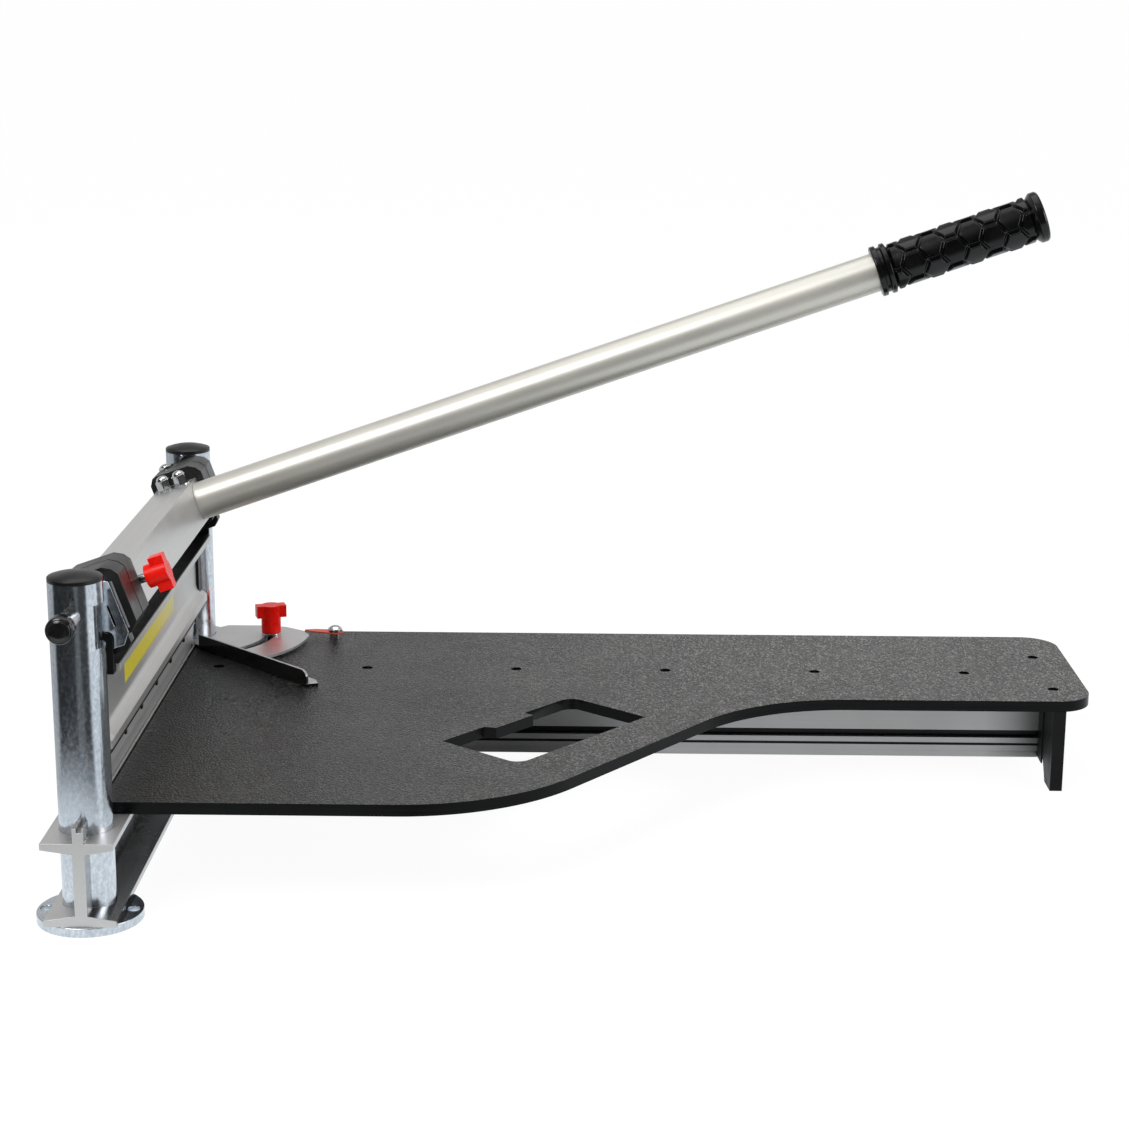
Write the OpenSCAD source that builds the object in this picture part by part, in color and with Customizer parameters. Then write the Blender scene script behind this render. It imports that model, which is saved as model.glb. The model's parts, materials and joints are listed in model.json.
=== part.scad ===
// Bench cutter for laminate boards: a long lever drives a guided blade down onto an anvil.
// X runs along the table, Y along the blade (near side negative) and Z up.
// The origin is on the bench, midway between the two posts. The blade is closed.

/* [Posts and feet] */
// Outside diameter of the post tubes
post_d = 33.7; // [30:0.1:38]
// Wall of the post tubes
post_wall = 3; // [2:0.25:4]
// Distance between the post axes
post_gap = 398; // [360:1:440]
// Height of the post tubes above the pivot axis
post_over = 19.4; // [16:0.2:30]
// Diameter of the round feet
foot_d = 67; // [64:0.5:80]
// Thickness of the round feet
foot_t = 6; // [4:0.5:10]
// Diameter of the bench bolt holes in the feet
foot_hole_d = 8; // [6:0.1:8]
// Distance between the two bench bolt holes of a foot
foot_hole_gap = 55; // [54.5:0.1:56]
// Height of the rim of the post caps
cap_rim = 3; // [2:0.5:5]
// Depth of the plug under a post cap
cap_plug = 3; // [2:0.5:4]
// Width of the flat in the side of a post
window_w = 22; // [14:0.5:30]
// Height of the flat in the side of a post
window_h = 27.5; // [16:0.5:30]
// Depth of the flat in the side of a post
window_deep = 3.9; // [2:0.1:4.5]

/* [Base rail] */
// Half width of the rail flanges
rail_half_w = 22.7; // [21:0.1:23]
// Height of the rail over its two flanges
rail_h = 54.5; // [45:0.5:65]
// Thickness of the flanges at their tips
flange_tip = 4.2; // [3:0.1:6]
// Thickness of the flanges at the web
flange_root = 7.2; // [6.2:0.1:9]
// Thickness of the web
web_t = 7.8; // [5:0.1:10]
// Distance of the web from the post axis
web_shift = 1.1; // [0:0.1:2]
// Width of the anvil rib
anvil_w = 7; // [6:0.1:8]
// Height of the anvil rib above the table
anvil_over = 2; // [1:0.1:3]
// Width of the groove in the anvil
groove_w = 3.4; // [2.8:0.1:4]
// Depth of the groove in the anvil
groove_depth = 3; // [2:0.1:4]
// Length of the rail beyond each post axis
rail_over = 31; // [28:0.5:33]

/* [Table] */
// Thickness of the table board
table_t = 8; // [6:0.5:12]
// Reach of the table from the post axis to its end
table_end = 679; // [620:1:760]
// Near edge of the wide part, from the middle
table_near = 176.5; // [165:0.5:179]
// Near edge of the narrow part, from the middle
shelf_near = 53; // [45:1:70]
// Far edge of the table, from the middle
table_far = 223; // [217:0.5:235]
// Where the near edge starts to curve
sweep_start = 190; // [170:1:200]
// Radius of the outward curve of the near edge
sweep_r_out = 140; // [110:1:150]
// Radius of the inward curve of the near edge
sweep_r_in = 134; // [110:1:150]
// Slope of the near edge between its curves
sweep_angle = 52.7; // [50:0.1:56]
// Radius of the two end corners
end_r = 26; // [10:1:30]
// Length of the hand-hold
hold_len = 134; // [110:1:140]
// Width of the hand-hold
hold_w = 70; // [50:1:72]
// Turn of the hand-hold from the table's length
hold_angle = 50; // [48:0.5:54]
// Depth of the tab in the hand-hold
hold_tab = 8; // [4:0.5:12]
// Diameter of the screw sinks in the table
sink_d = 8; // [7:0.1:10]
// Number of screws along the support rail
rail_screw_count = 6; // [4:1:7]
// Distance between those screws
rail_screw_pitch = 112.6; // [90:0.1:114]

/* [Support rail and leg] */
// Width of the support rail
support_w = 40; // [30:1:44]
// Middle of the support rail, from the middle of the blade
support_y = 123; // [115:1:128]
// Height of the support rail
support_h = 52.5; // [46:0.5:54]
// Wall of the support rail
support_wall = 2.5; // [2:0.25:4]
// Thickness of the leg board
leg_t = 9; // [6:0.5:12]
// Width of the leg board
leg_w = 144; // [130:1:150]
// Height of the arch under the leg
arch_rise = 30; // [15:1:34]
// Width of each foot of the leg
leg_foot_w = 21; // [14:1:26]
// Distance of the leg from the table end
leg_inset = 20.5; // [14:0.5:26]

/* [Blade and carrier] */
// Thickness of the blade
blade_t = 3; // [2:0.1:3.2]
// Depth of the blade edge below the anvil
blade_bite = 1.5; // [0.5:0.1:1.8]
// Height of the ground face of the blade
bevel_h = 13.5; // [8:0.5:16]
// Thickness of the blade clamp
clamp_t = 3; // [2.5:0.1:4]
// Height of the blade clamp's lower edge above the table
clamp_over = 22; // [20:0.2:24]
// Height of the recess for the blade's top edge above the table
blade_top_over = 36.5; // [34:0.5:38]
// Height of the top edge of the carrier's lower flange above the table
lip_over = 41.7; // [40.5:0.1:43]
// Number of blade screws
blade_screw_count = 7; // [5:1:7]
// Distance between the blade screws
blade_screw_pitch = 54.5; // [45:0.5:54.5]
// Diameter of the blade screws
blade_screw_d = 3; // [2.5:0.1:4]
// Right edge of the carrier's upper flange, from the post axis
carrier_right = 19.7; // [18.8:0.1:20.5]
// Left face of the carrier, from the post axis
carrier_left = 14; // [12:0.5:15]
// Depth of the carrier top below the pivot axis
carrier_drop = 41.2; // [41:0.1:43]
// Right face of the carrier's web, from the post axis
web_right = 7.4; // [7.4:0.1:8.5]
// Right edge of the carrier's lower flange, from the post axis
lip_reach = 14.2; // [13.5:0.1:15.5]
// Wall of the carrier
carrier_wall = 3; // [2:0.25:4]
// Thickness of the black strip along the carrier
strip_t = 1.5; // [1:0.1:2]
// Length by which the lower flange stands out past the end plates
toe_len = 7; // [5:0.5:8]
// Thickness of the carrier end plates
end_plate_t = 3; // [2:0.25:5]

/* [Lift drive] */
// Travel of the carriage
lift = 17; // [13:0.5:17]
// Swing of the lever
swing = 45; // [45:1:48]
// Diameter of the lift pins
lift_pin_d = 7; // [5:0.1:8]
// Forward distance of the lift pins from the pivot axis
lift_pin_x = 13; // [12.5:0.1:14]
// Depth of the lift pins below the pivot axis, closed
lift_pin_drop = 24; // [23:0.1:25]
// Thickness of the lift brackets
lift_t = 2.7; // [2:0.1:3]
// Width of the lift brackets
lift_w = 9; // [8.4:0.1:9.4]
// Thickness of the rocker plates
rocker_t = 5; // [3:0.25:6]
// Diameter of the pivot bolts
pivot_d = 10; // [8:0.1:10.4]

/* [Lever] */
// Height of the pivot axis above the table
pivot_over = 131.5; // [128:0.5:140]
// Slope of the closed handle
handle_tilt = 19.3; // [17:0.1:19.5]
// Side of the square lever bar
bar_w = 31; // [29:0.1:31]
// Wall of the lever bar
bar_wall = 2.5; // [2:0.25:4]
// Forward distance of the bar's middle from the pivot axis
bar_fwd = 4.5; // [4.5:0.1:6]
// Depth of the bar's middle below the pivot axis
bar_drop = 9.7; // [8.5:0.1:9.8]
// Wall of the end sleeves at the side
sleeve_wall = 5.4; // [5:0.1:6]
// Wall of the end sleeves at the top
sleeve_roof = 10.2; // [9:0.1:11]
// Wall of the end sleeves below
sleeve_floor = 3.6; // [3:0.1:4]
// Length of each end sleeve
sleeve_len = 40; // [34:0.5:40]
// Width of the groove round a sleeve
sleeve_groove = 1.2; // [0.6:0.1:3]
// Diameter of the handle tube
handle_d = 28; // [24:0.5:28]
// Wall of the handle tube
handle_wall = 2; // [1.5:0.25:3]
// Place of the handle along the bar, from the middle
handle_y = 119; // [90:1:119]
// Reach of the handle to the grip
grip_start = 543.5; // [480:0.5:600]
// Length of the grip
grip_len = 125; // [110:1:140]
// Diameter of the grip under its pads
grip_d = 32; // [31:0.5:36]
// Height of the grip collars
collar_h = 2.6; // [1:0.1:4]
// Diameter of the handle bolts
handle_bolt_d = 7; // [5:0.5:8]

/* [Fence] */
// Length of the fence
fence_len = 134.5; // [110:0.5:150]
// Height of the fence
fence_h = 12; // [8:0.5:16]
// Thickness of the fence
fence_t = 2; // [1.5:0.1:3]
// Width of the fence's foot
fence_foot_w = 12; // [11:0.5:13]
// Thickness of the angle plate
plate_t = 2; // [1.5:0.1:3]
// Radius of the angle plate
plate_r = 91; // [82:1:96]
// Radius of the slot in the angle plate
slot_r = 61; // [54:1:66]
// Diameter of the clamping stud
stud_d = 6.2; // [6:0.1:8]
// Swing of the fence
fence_swing = 45; // [30:1:45]
// Width of the ring of the angle plate round the post
ring_wall = 8; // [6:0.5:9]

/* [Knobs] */
// Diameter of the knob stems
knob_stem_d = 15.2; // [14:0.1:18]
// Length of the fence knob's stem
fence_stem_h = 12.5; // [10:0.5:18]
// Length of the lock knob's stem
lock_stem_h = 5; // [4:0.5:12]
// Length of the knob cross bars
knob_bar_len = 23.2; // [20:0.2:30]
// Height of the knob cross bars
knob_bar_h = 9.6; // [8:0.2:13]
// Thickness of the knob cross bars
knob_bar_t = 9.4; // [9:0.2:13]
// Place of the lock knob along the bar, from the middle
lock_y = -128; // [-128:0.5:-100]
// Diameter of the lock knob's stud
lock_stud_d = 6; // [5:0.1:7]

/* [Hidden] */
$fn = 64;
// Fits and clearances
press = 0.02;
running = 0.05;
slide_gap = 0.3;
board_gap = 0.4;
swing_gap = 0.8;
eps = 0.5;

// Heights, from the bench up
rail_top = foot_t + rail_h;
table_top = rail_top + table_t;
anvil_top = table_top + anvil_over;
pivot_z = table_top + pivot_over;
post_top = pivot_z + post_over;
carrier_top = pivot_z - carrier_drop;
edge_z = anvil_top - blade_bite;
clamp_low = table_top + clamp_over;
blade_roof = table_top + blade_top_over;
lip_z = table_top + lip_over;
carrier_base = clamp_low + 1;
carrier_roof = carrier_top - strip_t - carrier_wall;
blade_screw_z = clamp_low + 3.2;

// Distances inward from a post axis
post_y = post_gap / 2;
post_r = post_d / 2;
lift_in = post_r + slide_gap;
rocker_in = lift_in + lift_t + slide_gap;
bar_in = rocker_in + rocker_t;
end_in = bar_in + board_gap;
carrier_in = end_in + end_plate_t;
bar_half = post_y - bar_in;
carrier_half = post_y - carrier_in;
end_half = post_y - end_in;

// Blade screws: as many of the wanted count as the carrier's length holds
screw_margin = 6;
screws_fit = min(blade_screw_count, 1 + floor(2 * (carrier_half - screw_margin) / blade_screw_pitch));

// Across the blade
anvil_left = web_shift - anvil_w / 2 + 0.1;
anvil_right = anvil_left + anvil_w;
table_left = anvil_right + board_gap;
groove_mid = anvil_left + 4.4;
blade_left = groove_mid - 0.6;
blade_right = blade_left + blade_t;
clamp_right = blade_right + clamp_t;
leg_left = blade_left - 7.4;
guide_right = web_right + 2.2;

// Table outline
table_depth = table_near + shelf_near;
sweep_turn = (sweep_r_out + sweep_r_in) * (1 - cos(sweep_angle));
sweep_run = (table_depth - sweep_turn) / sin(sweep_angle);
sweep_end = sweep_start + (sweep_r_out + sweep_r_in) * sin(sweep_angle) + sweep_run * cos(sweep_angle);
hold_u = 98.5;
hold_v = 194.5;
hold_r = 10;
sink_depth = 5;
screw_d = 4.5;
screw_len = 20;
rail_screw_x = 31.5;

// Support rail and leg
support_start = rail_half_w + slide_gap;
leg_right = table_end - leg_inset;
leg_left_x = leg_right - leg_t;
leg_mid = shelf_near + leg_w / 2;
support_low = rail_top - support_h;
groove_low = support_low + 16;
groove_high = support_low + 22;
arch_half = leg_w / 2 - leg_foot_w;
arch_r = (arch_half * arch_half + arch_rise * arch_rise) / (2 * arch_rise);
leg_screw_gap = 83;

// Lever, in a frame on the pivot axis with x along the handle
bar_right = bar_fwd + bar_w / 2;
bar_left = bar_fwd - bar_w / 2;
bar_top = bar_w / 2 - bar_drop;
bar_low = -bar_w / 2 - bar_drop;
sleeve_right = bar_right + sleeve_wall;
sleeve_top = bar_top + sleeve_roof;
sleeve_low = bar_low - sleeve_floor;
sleeve_back = bar_left - 3.5;
sleeve_chamfer = 6;
sleeve_bands = 2;
sleeve_pocket = 3.4;
groove_deep = 0.8;
sleeve_fit = 0.1;
lobe_low = sleeve_low - 10;
lobe_t = 10;
rocker_low = lift_pin_drop + 10;
rocker_top = pivot_d / 2 + 6;
handle_in = bar_left + bar_wall + press;
spigot_d = handle_d - 2 * handle_wall - 2 * sleeve_fit;
spigot_reach = 40;
spigot_end = bar_right + spigot_reach;
bolt_first = bar_fwd - 5.5;
bolt_second = bar_fwd + 7.2;
bolt_head_d = 11;
bolt_head_h = 7.5;
bolt_stand = 3.5;
sleeve_bolt_x = bar_fwd - 10.5;
sleeve_bolt_y = bar_half - sleeve_len / sleeve_bands / 2;
window_up = 5.8;
pivot_reach = 49;
pivot_cap_d = 17;
pivot_cap_len = 11;
collar_d = pivot_d + 2;
lock_p = -6.9;
lock_stand = 9.6;
lift_rate = lift / swing;
slot_steps = 18;
slot_w = lift_pin_d + 2 * slide_gap;

// Fence, in a frame on the far post axis with x along the fence
fence_face = post_r - 0.5;
fence_start = 29;
fence_low = table_top + slide_gap;
plate_low = max(fence_low + fence_t, anvil_top + slide_gap);
plate_high = plate_low + plate_t;
ring_r = post_r + slide_gap + ring_wall;
stud_angle = 0;
knob_turn = 18;
stud_x = slot_r * cos(stud_angle);
stud_y = post_y + slot_r * sin(stud_angle);
slot_margin = 4;
plate_far = 23.6;
plate_corner = [[-4, 33], [5.5, 14.5], [21, 3.6], [36, 0]];
rivet_first = 40;
rivet_gap = 32;
washer_t = 1.6;
pointer_x = plate_r + 20;
pointer_y = post_y + 4;
pointer_t = 1;
pointer_eye_r = 6.4;
pointer_z = plate_high + slide_gap;

// Points of an arc, both ends included
function arc(cx, cy, r, a0, a1, n) = [for (i = [0:n]) let (a = a0 + (a1 - a0) * i / n) [cx + r * cos(a), cy + r * sin(a)]];

// Place of a lift pin in the lever's frame when the lever has swung by an angle
function pin_at(a) = let (
    t = a + handle_tilt,
    z = lift_rate * a - lift_pin_drop
) [lift_pin_x * cos(t) + z * sin(t), z * cos(t) - lift_pin_x * sin(t)];

// Unit vector across the lift slot at a swing angle
function slot_across(a) = let (v = pin_at(a + 0.1) - pin_at(a - 0.1)) [-v[1], v[0]] / norm(v);

// Draws its children on the near side, and mirrors them for the far side
module on_side(far) {
    mirror([0, far ? 1 : 0, 0]) children();
}

// Carries a flat X-Z outline along Y
module along_y(y0, y1) {
    translate([0, y1, 0]) rotate([90, 0, 0]) linear_extrude(y1 - y0) children();
}

// Carries a flat Y-Z outline along X
module along_x(x0, x1) {
    translate([x0, 0, 0]) rotate([90, 0, 90]) linear_extrude(x1 - x0) children();
}

// A round bar along Y
module rod_y(d, y0, y1) {
    translate([0, y0, 0]) rotate([-90, 0, 0]) cylinder(d = d, h = y1 - y0);
}

// The lever's frame: on the pivot axis, with x along the closed handle
module in_lever() {
    translate([0, 0, pivot_z]) rotate([0, -handle_tilt, 0]) children();
}

// The fence's frame: on the far post axis, with x along the fence at its mitre stop
module in_fence() {
    translate([0, post_y, 0]) rotate([0, 0, -45]) children();
}

// The near post's axis
module at_post(far) {
    translate([0, far ? post_y : -post_y, 0]) children();
}

module base_rail() {
    half = post_y + rail_over;
    left = web_shift - web_t / 2;
    right = web_shift + web_t / 2;
    color("gainsboro") difference() {
        along_y(-half, half) polygon([
            [-rail_half_w, foot_t], [rail_half_w, foot_t], [rail_half_w, foot_t + flange_tip],
            [right, foot_t + flange_root], [right, rail_top - flange_root],
            [rail_half_w, rail_top - flange_tip], [rail_half_w, rail_top],
            [anvil_right, rail_top], [anvil_right, anvil_top],
            [groove_mid + groove_w / 2, anvil_top], [groove_mid + groove_w / 2, anvil_top - groove_depth],
            [groove_mid - groove_w / 2, anvil_top - groove_depth], [groove_mid - groove_w / 2, anvil_top],
            [anvil_left, anvil_top], [anvil_left, rail_top],
            [-rail_half_w, rail_top], [-rail_half_w, rail_top - flange_tip],
            [left, rail_top - flange_root], [left, foot_t + flange_root],
            [-rail_half_w, foot_t + flange_tip]
        ]);
        for (far = [false, true])
            at_post(far) translate([0, 0, foot_t - eps])
                cylinder(d = post_d + 2 * running, h = anvil_top - foot_t + 2 * eps);
    }
}

// The flat in the side of a post head, in the post's own place
module post_flat() {
    translate([post_r - window_deep, -window_w / 2, pivot_z - window_h + window_up])
        cube([post_r, window_w, window_h]);
}

module post(far) {
    color("lightsteelblue") on_side(far) difference() {
        at_post(false) difference() {
            translate([0, 0, foot_t]) cylinder(d = post_d, h = post_top - foot_t);
            translate([0, 0, foot_t - eps])
                cylinder(d = post_d - 2 * post_wall, h = post_top - foot_t + 2 * eps);
            post_flat();
        }
        translate([0, 0, pivot_z]) rod_y(pivot_d + 2 * running, -post_y - post_r - eps, -post_y + post_r + eps);
    }
}

module foot(far) {
    color("lightsteelblue") at_post(far) difference() {
        cylinder(d = foot_d, h = foot_t);
        for (side = [-1, 1])
            translate([side * foot_hole_gap / 2, 0, -eps]) cylinder(d = foot_hole_d, h = foot_t + 2 * eps);
    }
}

module cap(far) {
    plug_r = post_r - post_wall - running;
    color("#262626") at_post(far) rotate_extrude() polygon([
        [0, post_top - cap_plug], [plug_r, post_top - cap_plug], [plug_r, post_top], [post_r, post_top],
        [post_r, post_top + cap_rim - 0.8], [post_r - 0.8, post_top + cap_rim],
        [post_r / 2, post_top + cap_rim + 0.6], [0, post_top + cap_rim + 0.8]
    ]);
}

module post_bush(far) {
    low = pivot_z - window_h;
    color("darkgray") on_side(far) difference() {
        at_post(false) difference() {
            translate([0, 0, low])
                cylinder(d = post_d - 2 * post_wall - 2 * running, h = post_top - cap_plug - low);
            post_flat();
        }
        translate([0, 0, pivot_z]) rod_y(pivot_d + 2 * running, -post_y - post_r, -post_y + post_r);
    }
}

module pivot_bolt(far) {
    color("silver") on_side(far) translate([0, 0, pivot_z])
        rod_y(pivot_d, -post_y - pivot_reach + pivot_cap_len / 2, -post_y + bar_in - slide_gap);
}

module pivot_collar(far) {
    color("silver") on_side(far) difference() {
        translate([0, 0, pivot_z]) rod_y(collar_d, -post_y - pivot_reach + pivot_cap_len, -post_y);
        translate([0, 0, pivot_z]) rod_y(pivot_d + 2 * running, -post_y - pivot_reach, -post_y + eps);
        at_post(false) translate([0, 0, pivot_z - collar_d]) cylinder(d = post_d + 2 * press, h = 2 * collar_d);
    }
}

module pivot_cap(far) {
    r = pivot_cap_d / 2;
    color("#151515") on_side(far) translate([0, -post_y - pivot_reach + pivot_cap_len, pivot_z]) rotate([90, 0, 0])
        difference() {
            rotate_extrude() polygon([
                [0, 0], [r - 1.2, 0], [r, 1.2], [r, 3.4], [r - 0.9, 3.9], [r - 0.9, 4.8], [r, 5.3],
                [r, pivot_cap_len - 2.4], [r - 1, pivot_cap_len - 1], [r - 3.4, pivot_cap_len],
                [r - 4.2, pivot_cap_len - 0.8], [0, pivot_cap_len - 0.8]
            ]);
            translate([0, 0, -eps]) cylinder(d = pivot_d + 2 * running, h = pivot_cap_len / 2 + eps + running);
        }
}

module table() {
    color("#1d1d1d") difference() {
        translate([0, 0, rail_top]) linear_extrude(table_t) difference() {
            polygon(concat(
                [[table_left, table_far], [table_left, -table_near]],
                arc(sweep_start, sweep_r_out - table_near, sweep_r_out, -90, sweep_angle - 90, 24),
                arc(sweep_end, -shelf_edge() - sweep_r_in, sweep_r_in, 90 + sweep_angle, 90, 24),
                arc(table_end - end_r, shelf_near + end_r, end_r, -90, 0, 16),
                arc(table_end - end_r, table_far - end_r, end_r, 0, 90, 16)
            ));
            translate([0, post_y]) circle(r = post_r + swing_gap);
            hand_hold();
        }
        for (p = table_screw_places()) translate([p[0], p[1], 0]) screw_sink();
        translate([stud_x, stud_y, rail_top - eps]) cylinder(d = stud_d + 2 * press, h = table_t + 2 * eps);
        translate([pointer_x, pointer_y, rail_top - eps]) cylinder(d = screw_d + 2 * press, h = table_t + 2 * eps);
    }
}

// Distance of the narrow part's near edge from the middle, taken negative on the near side
function shelf_edge() = -shelf_near;

// All screws through the table: along the support rail, then over the leg
function rail_screw_places() = [for (i = [0:rail_screw_count - 1]) [rail_screw_x + i * rail_screw_pitch, support_y]];
function leg_screw_places() = [for (s = [-1, 1]) [leg_right - leg_t / 2, leg_mid + s * leg_screw_gap / 2]];
function table_screw_places() = concat(rail_screw_places(), leg_screw_places());

// Opening for the hand, with a tab on its upper side
module hand_hold() {
    tab_from = 0.31 * hold_len;
    tab_to = 0.63 * hold_len;
    rotate(hold_angle) translate([hold_u, -hold_v]) {
        polygon(concat(
            [[0, 0]],
            arc(hold_r, hold_r - hold_w, hold_r, 180, 270, 8),
            [[hold_len, -hold_w]],
            arc(hold_len - hold_r, -hold_r, hold_r, 0, 90, 8),
            [[tab_to, 0], [tab_to, -hold_tab], [tab_from + hold_tab / 2, -hold_tab], [tab_from, 0]]
        ));
    }
}

// Counterbore and clearance hole for a table screw
module screw_sink() {
    translate([0, 0, rail_top - eps]) cylinder(d = screw_d + 2 * running, h = table_t + 2 * eps);
    translate([0, 0, table_top - sink_depth]) cylinder(d = sink_d, h = sink_depth + eps);
}

module screw() {
    head = table_top - sink_depth;
    translate([0, 0, head]) cylinder(d = sink_d - 2 * slide_gap, h = sink_depth - 1.2);
    translate([0, 0, head - screw_len]) cylinder(d = screw_d, h = screw_len);
}

module table_screws() {
    color("#101010") for (p = rail_screw_places()) translate([p[0], p[1], 0]) screw();
}

module leg_screws() {
    color("#101010") for (p = leg_screw_places()) translate([p[0], p[1], 0]) screw();
}

module support_rail() {
    half = support_w / 2;
    color("silver") difference() {
        along_x(support_start, leg_left_x) translate([support_y, 0]) difference() {
            polygon([
                [-half + 3, support_low], [half - 3, support_low], [half - 3, support_low + 6],
                [half, support_low + 6], [half, groove_low], [half - 5, groove_low],
                [half - 5, groove_high], [half, groove_high], [half, rail_top],
                [-half, rail_top], [-half, groove_high], [-half + 5, groove_high],
                [-half + 5, groove_low], [-half, groove_low], [-half, support_low + 6],
                [-half + 3, support_low + 6]
            ]);
            translate([support_wall - half, groove_high + support_wall])
                square([support_w - 2 * support_wall, rail_top - groove_high - 7]);
            translate([3 + support_wall - half, support_low + support_wall])
                square([support_w - 6 - 2 * support_wall, 10]);
            for (side = [-1, 1]) translate([side * half - 0.8, support_low + 10.5]) square([1.6, 1]);
        }
        for (p = rail_screw_places())
            translate([p[0], p[1], table_top - sink_depth - screw_len - eps])
                cylinder(d = screw_d + 2 * press, h = screw_len);
    }
}

module leg() {
    color("#1a1a1a") difference() {
        along_x(leg_left_x, leg_right) difference() {
            translate([shelf_near, 0]) square([leg_w, rail_top]);
            translate([leg_mid, arch_rise - arch_r]) circle(r = arch_r);
        }
        for (p = leg_screw_places())
            translate([p[0], p[1], table_top - sink_depth - screw_len - eps])
                cylinder(d = screw_d + 2 * press, h = screw_len + eps);
    }
}

module fence_stud() {
    color("silver") translate([stud_x, stud_y, rail_top])
        cylinder(d = stud_d, h = plate_high + washer_t + fence_stem_h - 3 - rail_top);
}

module fence_washer() {
    color("silver") translate([stud_x, stud_y, plate_high + slide_gap / 2]) difference() {
        cylinder(d = knob_stem_d, h = washer_t - slide_gap);
        translate([0, 0, -eps]) cylinder(d = stud_d + 2 * running, h = washer_t + 2 * eps);
    }
}

module pointer() {
    reach = pointer_x - plate_r + 5;
    color("orangered") translate([pointer_x, pointer_y, pointer_z]) rotate(-10) linear_extrude(pointer_t) difference() {
        union() {
            circle(r = pointer_eye_r);
            polygon([[0, -5], [0, 5], [-reach + 8, 3.6], [-reach, 0.4], [-reach, -0.4], [-reach + 8, -3.6]]);
        }
        circle(d = screw_d + 2 * running);
    }
}

module pointer_spacer() {
    color("silver") translate([pointer_x, pointer_y, table_top]) difference() {
        cylinder(d = 9, h = pointer_z - table_top);
        translate([0, 0, -eps]) cylinder(d = screw_d + 2 * running, h = pointer_z - table_top + 2 * eps);
    }
}

module pointer_screw() {
    head_z = pointer_z + pointer_t;
    dome_r = 7.5;
    color("silver") translate([pointer_x, pointer_y, 0]) {
        translate([0, 0, rail_top]) cylinder(d = screw_d, h = head_z - rail_top);
        intersection() {
            translate([0, 0, head_z - 2.5]) sphere(r = dome_r);
            translate([0, 0, head_z]) cylinder(d = 2 * pointer_eye_r - 1.4, h = 6);
        }
    }
}

// Outline of the carrier in X-Z, without its hollow: a box with a flange above and a filleted flange below
module carrier_outline() {
    polygon([
        [-carrier_left, carrier_top], [carrier_right, carrier_top], [carrier_right, carrier_roof],
        [web_right + 3, carrier_roof], [web_right + 0.9, carrier_roof - 0.9], [web_right, carrier_roof - 3],
        [web_right, lip_z + 9], [web_right + 0.6, lip_z + 6], [web_right + 2.2, lip_z + 3.6],
        [web_right + 4, lip_z + 2.2], [lip_reach, lip_z], [lip_reach, blade_roof], [blade_left, blade_roof],
        [blade_left, carrier_base], [leg_left, carrier_base], [leg_left, blade_roof + 13], [-carrier_left, blade_roof + 16]
    ]);
}

// The part of the lower flange that stands out past an end plate, clear of the guide
module carrier_toe() {
    intersection() {
        carrier_outline();
        translate([guide_right + slide_gap, blade_roof]) square([lip_reach, lip_z - blade_roof + 3]);
    }
}

module blade_carrier() {
    hollow_low = blade_roof + 22;
    color("gainsboro") difference() {
        along_y(-carrier_half, carrier_half) difference() {
            carrier_outline();
            translate([carrier_wall - carrier_left, hollow_low])
                square([carrier_left + web_right - 2 * carrier_wall, carrier_roof - hollow_low]);
            translate([2 - carrier_left, carrier_top - strip_t])
                square([carrier_left + carrier_right - 3.5, strip_t + eps]);
        }
        blade_screw_shanks(2 * press, leg_left - eps, blade_left + eps);
    }
}

module carrier_strip() {
    color("#1c1c1c") translate([2 - carrier_left + press, -carrier_half, carrier_top - strip_t])
        cube([carrier_left + carrier_right - 3.5 - 2 * press, 2 * carrier_half, strip_t]);
}

module end_plate(far) {
    color("gainsboro") on_side(far) {
        along_y(-end_half, -carrier_half) carrier_outline();
        along_y(-end_half - toe_len, -carrier_half) carrier_toe();
    }
}

// Places of the blade screws along the blade
function blade_screw_ys() = [for (i = [0:screws_fit - 1]) (i - (screws_fit - 1) / 2) * blade_screw_pitch];

module blade_screw_shanks(extra, x0, x1) {
    for (y = blade_screw_ys())
        translate([x0, y, blade_screw_z]) rotate([0, 90, 0]) cylinder(d = blade_screw_d + extra, h = x1 - x0);
}

module blade() {
    color("lightgray") difference() {
        along_y(-carrier_half, carrier_half) polygon([
            [groove_mid, edge_z], [blade_right, edge_z + bevel_h], [blade_right, blade_roof - slide_gap],
            [blade_left, blade_roof - slide_gap], [blade_left, edge_z + 2]
        ]);
        blade_screw_shanks(2 * running, blade_left - eps, blade_right + eps);
    }
}

module blade_clamp() {
    color("gray") difference() {
        along_y(-carrier_half, carrier_half) polygon([
            [blade_right, clamp_low], [clamp_right - 1, clamp_low], [clamp_right, clamp_low + 1],
            [clamp_right, blade_roof - slide_gap], [blade_right, blade_roof - slide_gap]
        ]);
        blade_screw_shanks(2 * running, blade_right - eps, clamp_right + eps);
    }
}

module blade_screws() {
    color("#303030") {
        blade_screw_shanks(0, leg_left, clamp_right);
        for (y = blade_screw_ys())
            translate([clamp_right, y, blade_screw_z]) rotate([0, 90, 0])
                cylinder(d1 = blade_screw_d + 2.6, d2 = blade_screw_d + 1.4, h = 1.2);
    }
}

module guide(far) {
    low = clamp_low + 15;
    high = carrier_top - 5;
    color("#222222") on_side(far) difference() {
        translate([-carrier_left, -post_y + post_r - 5, low])
            cube([carrier_left + guide_right, end_in - post_r + 5, high - low]);
        at_post(false) translate([0, 0, low - eps]) cylinder(r = post_r + slide_gap, h = high - low + 2 * eps);
    }
}

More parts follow.
